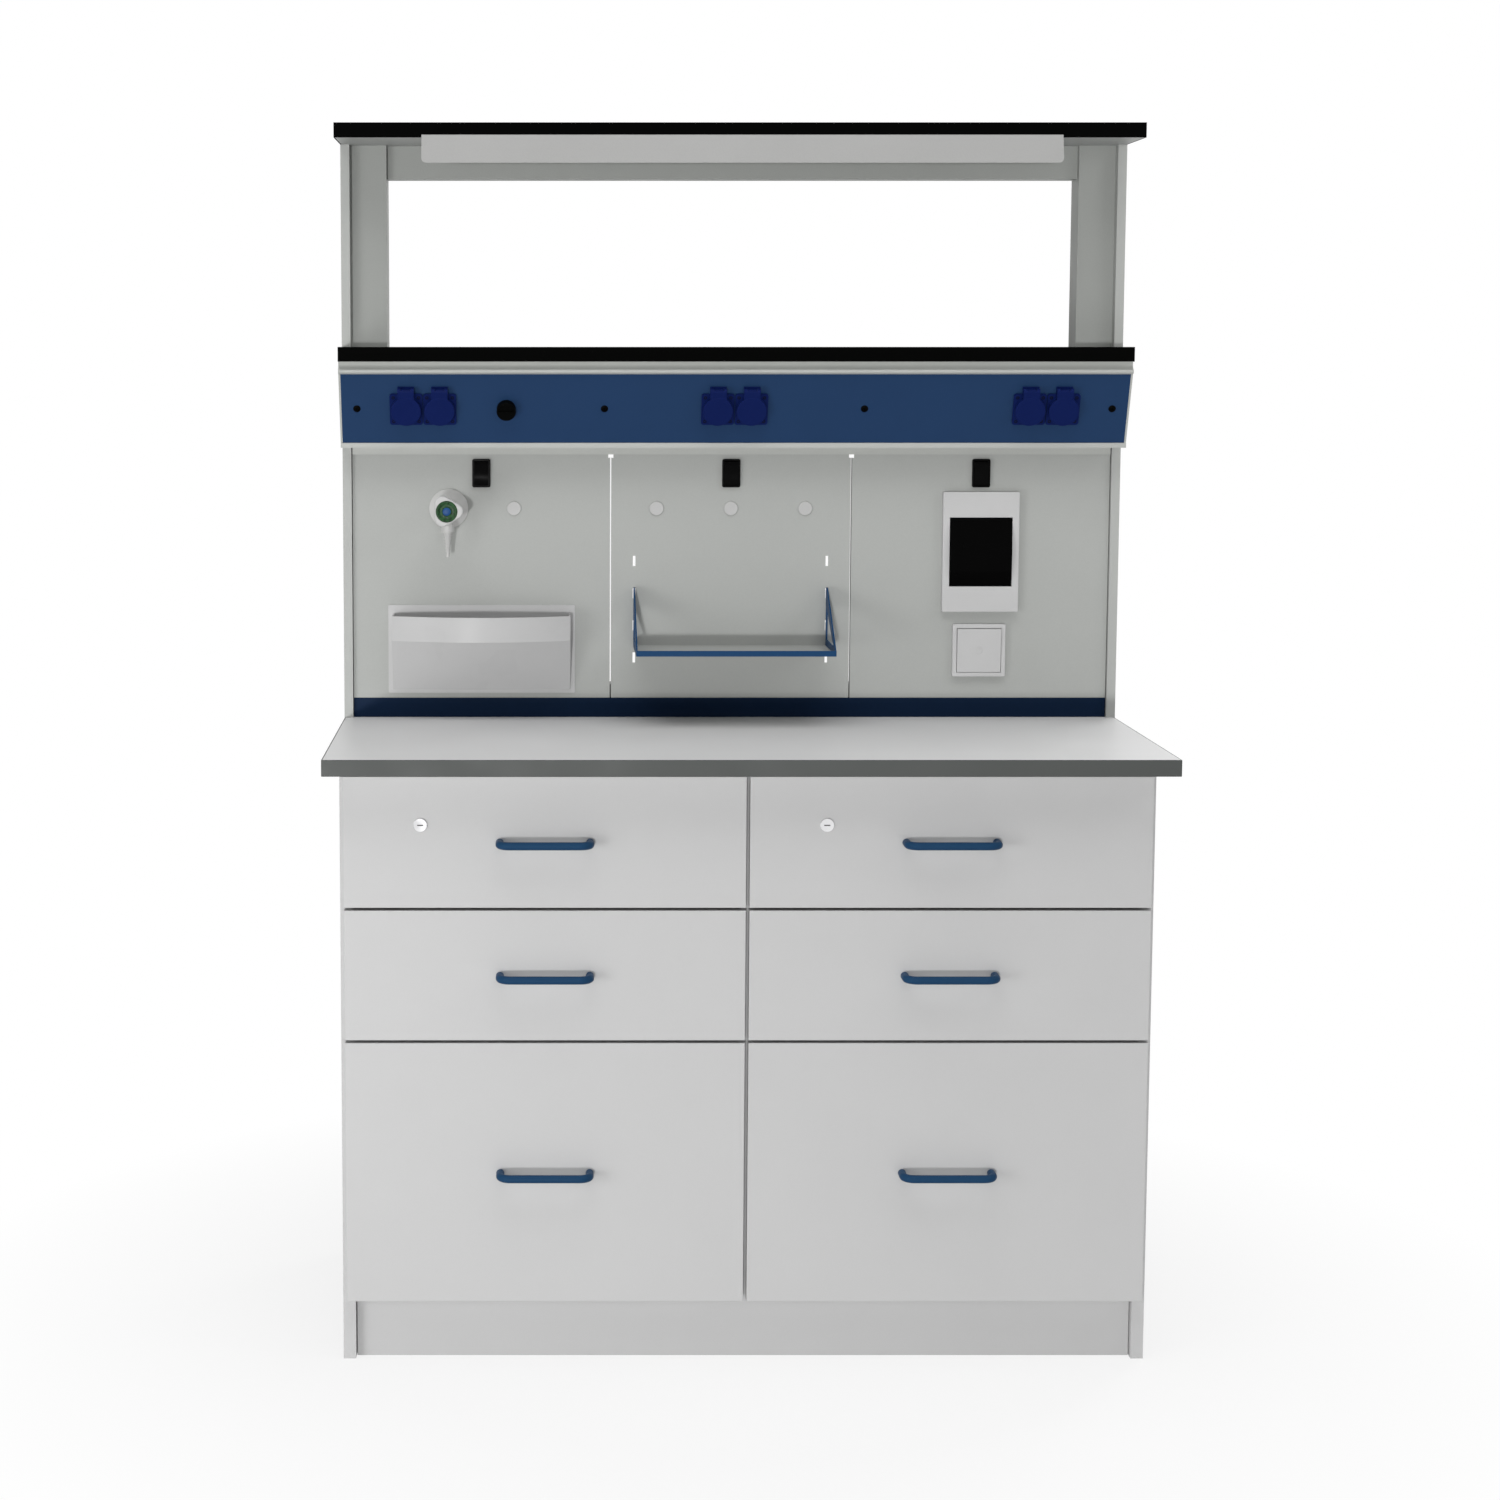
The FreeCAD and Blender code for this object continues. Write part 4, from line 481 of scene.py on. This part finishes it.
def seen_directly(tree):
    """1 on rays from the camera, off glossy surfaces and through clear ones."""
    rays = tree.nodes.new("ShaderNodeLightPath")
    mirrored = add_math(tree, "MAXIMUM",
                        rays.outputs["Is Glossy Ray"], rays.outputs["Is Transmission Ray"])
    return add_math(tree, "MAXIMUM", rays.outputs["Is Camera Ray"], mirrored)


FLOOR_GREY = (0.85, 0.85, 0.85, 1.0)
WHITE = (1.0, 1.0, 1.0, 1.0)
SHADOW_NEAR = 0.6
SHADOW_FAR = 1.3
LEAST_WHITE = 0.8


def floor_material():
    """A matt floor whose seen tone fades to white away from the table."""
    material = bpy.data.materials.new("studio_floor")
    material.use_nodes = True
    tree = material.node_tree
    tree.nodes.clear()
    output = tree.nodes.new("ShaderNodeOutputMaterial")
    blend = tree.nodes.new("ShaderNodeMixShader")
    matt = tree.nodes.new("ShaderNodeBsdfDiffuse")
    white = tree.nodes.new("ShaderNodeEmission")
    place = tree.nodes.new("ShaderNodeTexCoord")
    reach = tree.nodes.new("ShaderNodeVectorMath")
    fade = tree.nodes.new("ShaderNodeMapRange")
    reach.operation = "LENGTH"
    matt.inputs["Color"].default_value = FLOOR_GREY
    white.inputs["Color"].default_value = WHITE
    fade.inputs["From Min"].default_value = SHADOW_NEAR
    fade.inputs["From Max"].default_value = SHADOW_FAR
    fade.inputs["To Min"].default_value = LEAST_WHITE
    fade.inputs["To Max"].default_value = 1.0
    tree.links.new(place.outputs["Object"], reach.inputs[0])
    tree.links.new(reach.outputs["Value"], fade.inputs["Value"])
    shown = add_math(tree, "MULTIPLY", fade.outputs["Result"], seen_directly(tree))
    tree.links.new(shown, blend.inputs["Fac"])
    tree.links.new(matt.outputs["BSDF"], blend.inputs[1])
    tree.links.new(white.outputs["Emission"], blend.inputs[2])
    tree.links.new(blend.outputs["Shader"], output.inputs["Surface"])
    return material


FLOOR_HALF = 20.0


def studio_floor():
    """A broad flat sheet that takes shadows and throws none."""
    sheet = bmesh.new()
    bmesh.ops.create_grid(sheet, x_segments=8, y_segments=8, size=FLOOR_HALF)
    mesh = bpy.data.meshes.new("studio_floor")
    sheet.to_mesh(mesh)
    sheet.free()
    mesh.materials.append(floor_material())
    floor = bpy.data.objects.new("studio_floor", mesh)
    bpy.context.scene.collection.objects.link(floor)
    floor.visible_shadow = False


FILL_STRENGTH = 0.23


def studio_world():
    """White where it is seen, and a weaker even fill where it lights the table."""
    world = bpy.data.worlds.new("studio_world")
    bpy.context.scene.world = world
    world.use_nodes = True
    tree = world.node_tree
    tree.nodes.clear()
    output = tree.nodes.new("ShaderNodeOutputWorld")
    fill = tree.nodes.new("ShaderNodeBackground")
    shown = tree.nodes.new("ShaderNodeBackground")
    blend = tree.nodes.new("ShaderNodeMixShader")
    fill.inputs["Color"].default_value = WHITE
    fill.inputs["Strength"].default_value = FILL_STRENGTH
    shown.inputs["Color"].default_value = WHITE
    shown.inputs["Strength"].default_value = 1.0
    tree.links.new(seen_directly(tree), blend.inputs["Fac"])
    tree.links.new(fill.outputs["Background"], blend.inputs[1])
    tree.links.new(shown.outputs["Background"], blend.inputs[2])
    tree.links.new(blend.outputs["Shader"], output.inputs["Surface"])


def softbox(name, place, target, size, power):
    """A round soft lamp turned to its target."""
    lamp = bpy.data.lights.new(name, "AREA")
    lamp.shape = "DISK"
    lamp.size = size
    lamp.energy = power
    box = bpy.data.objects.new(name, lamp)
    box.location = place
    box.rotation_euler = (Vector(target) - Vector(place)).to_track_quat("-Z", "Y").to_euler()
    bpy.context.scene.collection.objects.link(box)


KEY_STRENGTH = 0.97
KEY_SPREAD = math.radians(2.5)
KEY_HEADING = Vector((0.127, 1.0, 0.068))


def low_key():
    """A far, nearly frontal lamp, a little to the left and a little below the level of the wall."""
    lamp = bpy.data.lights.new("low_key", "SUN")
    lamp.energy = KEY_STRENGTH
    lamp.angle = KEY_SPREAD
    far = bpy.data.objects.new("low_key", lamp)
    far.rotation_euler = KEY_HEADING.to_track_quat("-Z", "Y").to_euler()
    bpy.context.scene.collection.objects.link(far)


CAMERA_PLACE = (-0.2888, -4.1511, 1.4416)
CAMERA_DIP = 6.134


def studio_camera():
    """The photograph's camera: frontal, a little left of the middle and dipped to the worktop."""
    lens = bpy.data.cameras.new("photo_camera")
    lens.sensor_width = 36.0
    lens.lens = 67.02
    lens.shift_x = 0.1371
    lens.shift_y = -0.06
    camera = bpy.data.objects.new("photo_camera", lens)
    camera.location = CAMERA_PLACE
    camera.rotation_euler = (math.radians(90.0 - CAMERA_DIP), 0.0, 0.0)
    bpy.context.scene.collection.objects.link(camera)
    bpy.context.scene.camera = camera


studio_floor()
studio_world()
low_key()
softbox("side_lamp", place=(-2.0, -1.9, 0.55), target=(0.0, -0.2, 0.6), size=1.2, power=20.0)
softbox("top_lamp", place=(-0.2, -0.8, 3.6), target=(0.0, -0.1, 0.8), size=3.0, power=57.0)
softbox("right_lamp", place=(2.0, -1.1, 2.3), target=(0.3, 0.15, 1.6), size=1.0, power=7.0)
softbox("back_lamp", place=(2.2, 2.4, 1.9), target=(0.0, 0.2, 0.8), size=1.6, power=36.0)
studio_camera()
bpy.context.scene.view_settings.view_transform = "Standard"
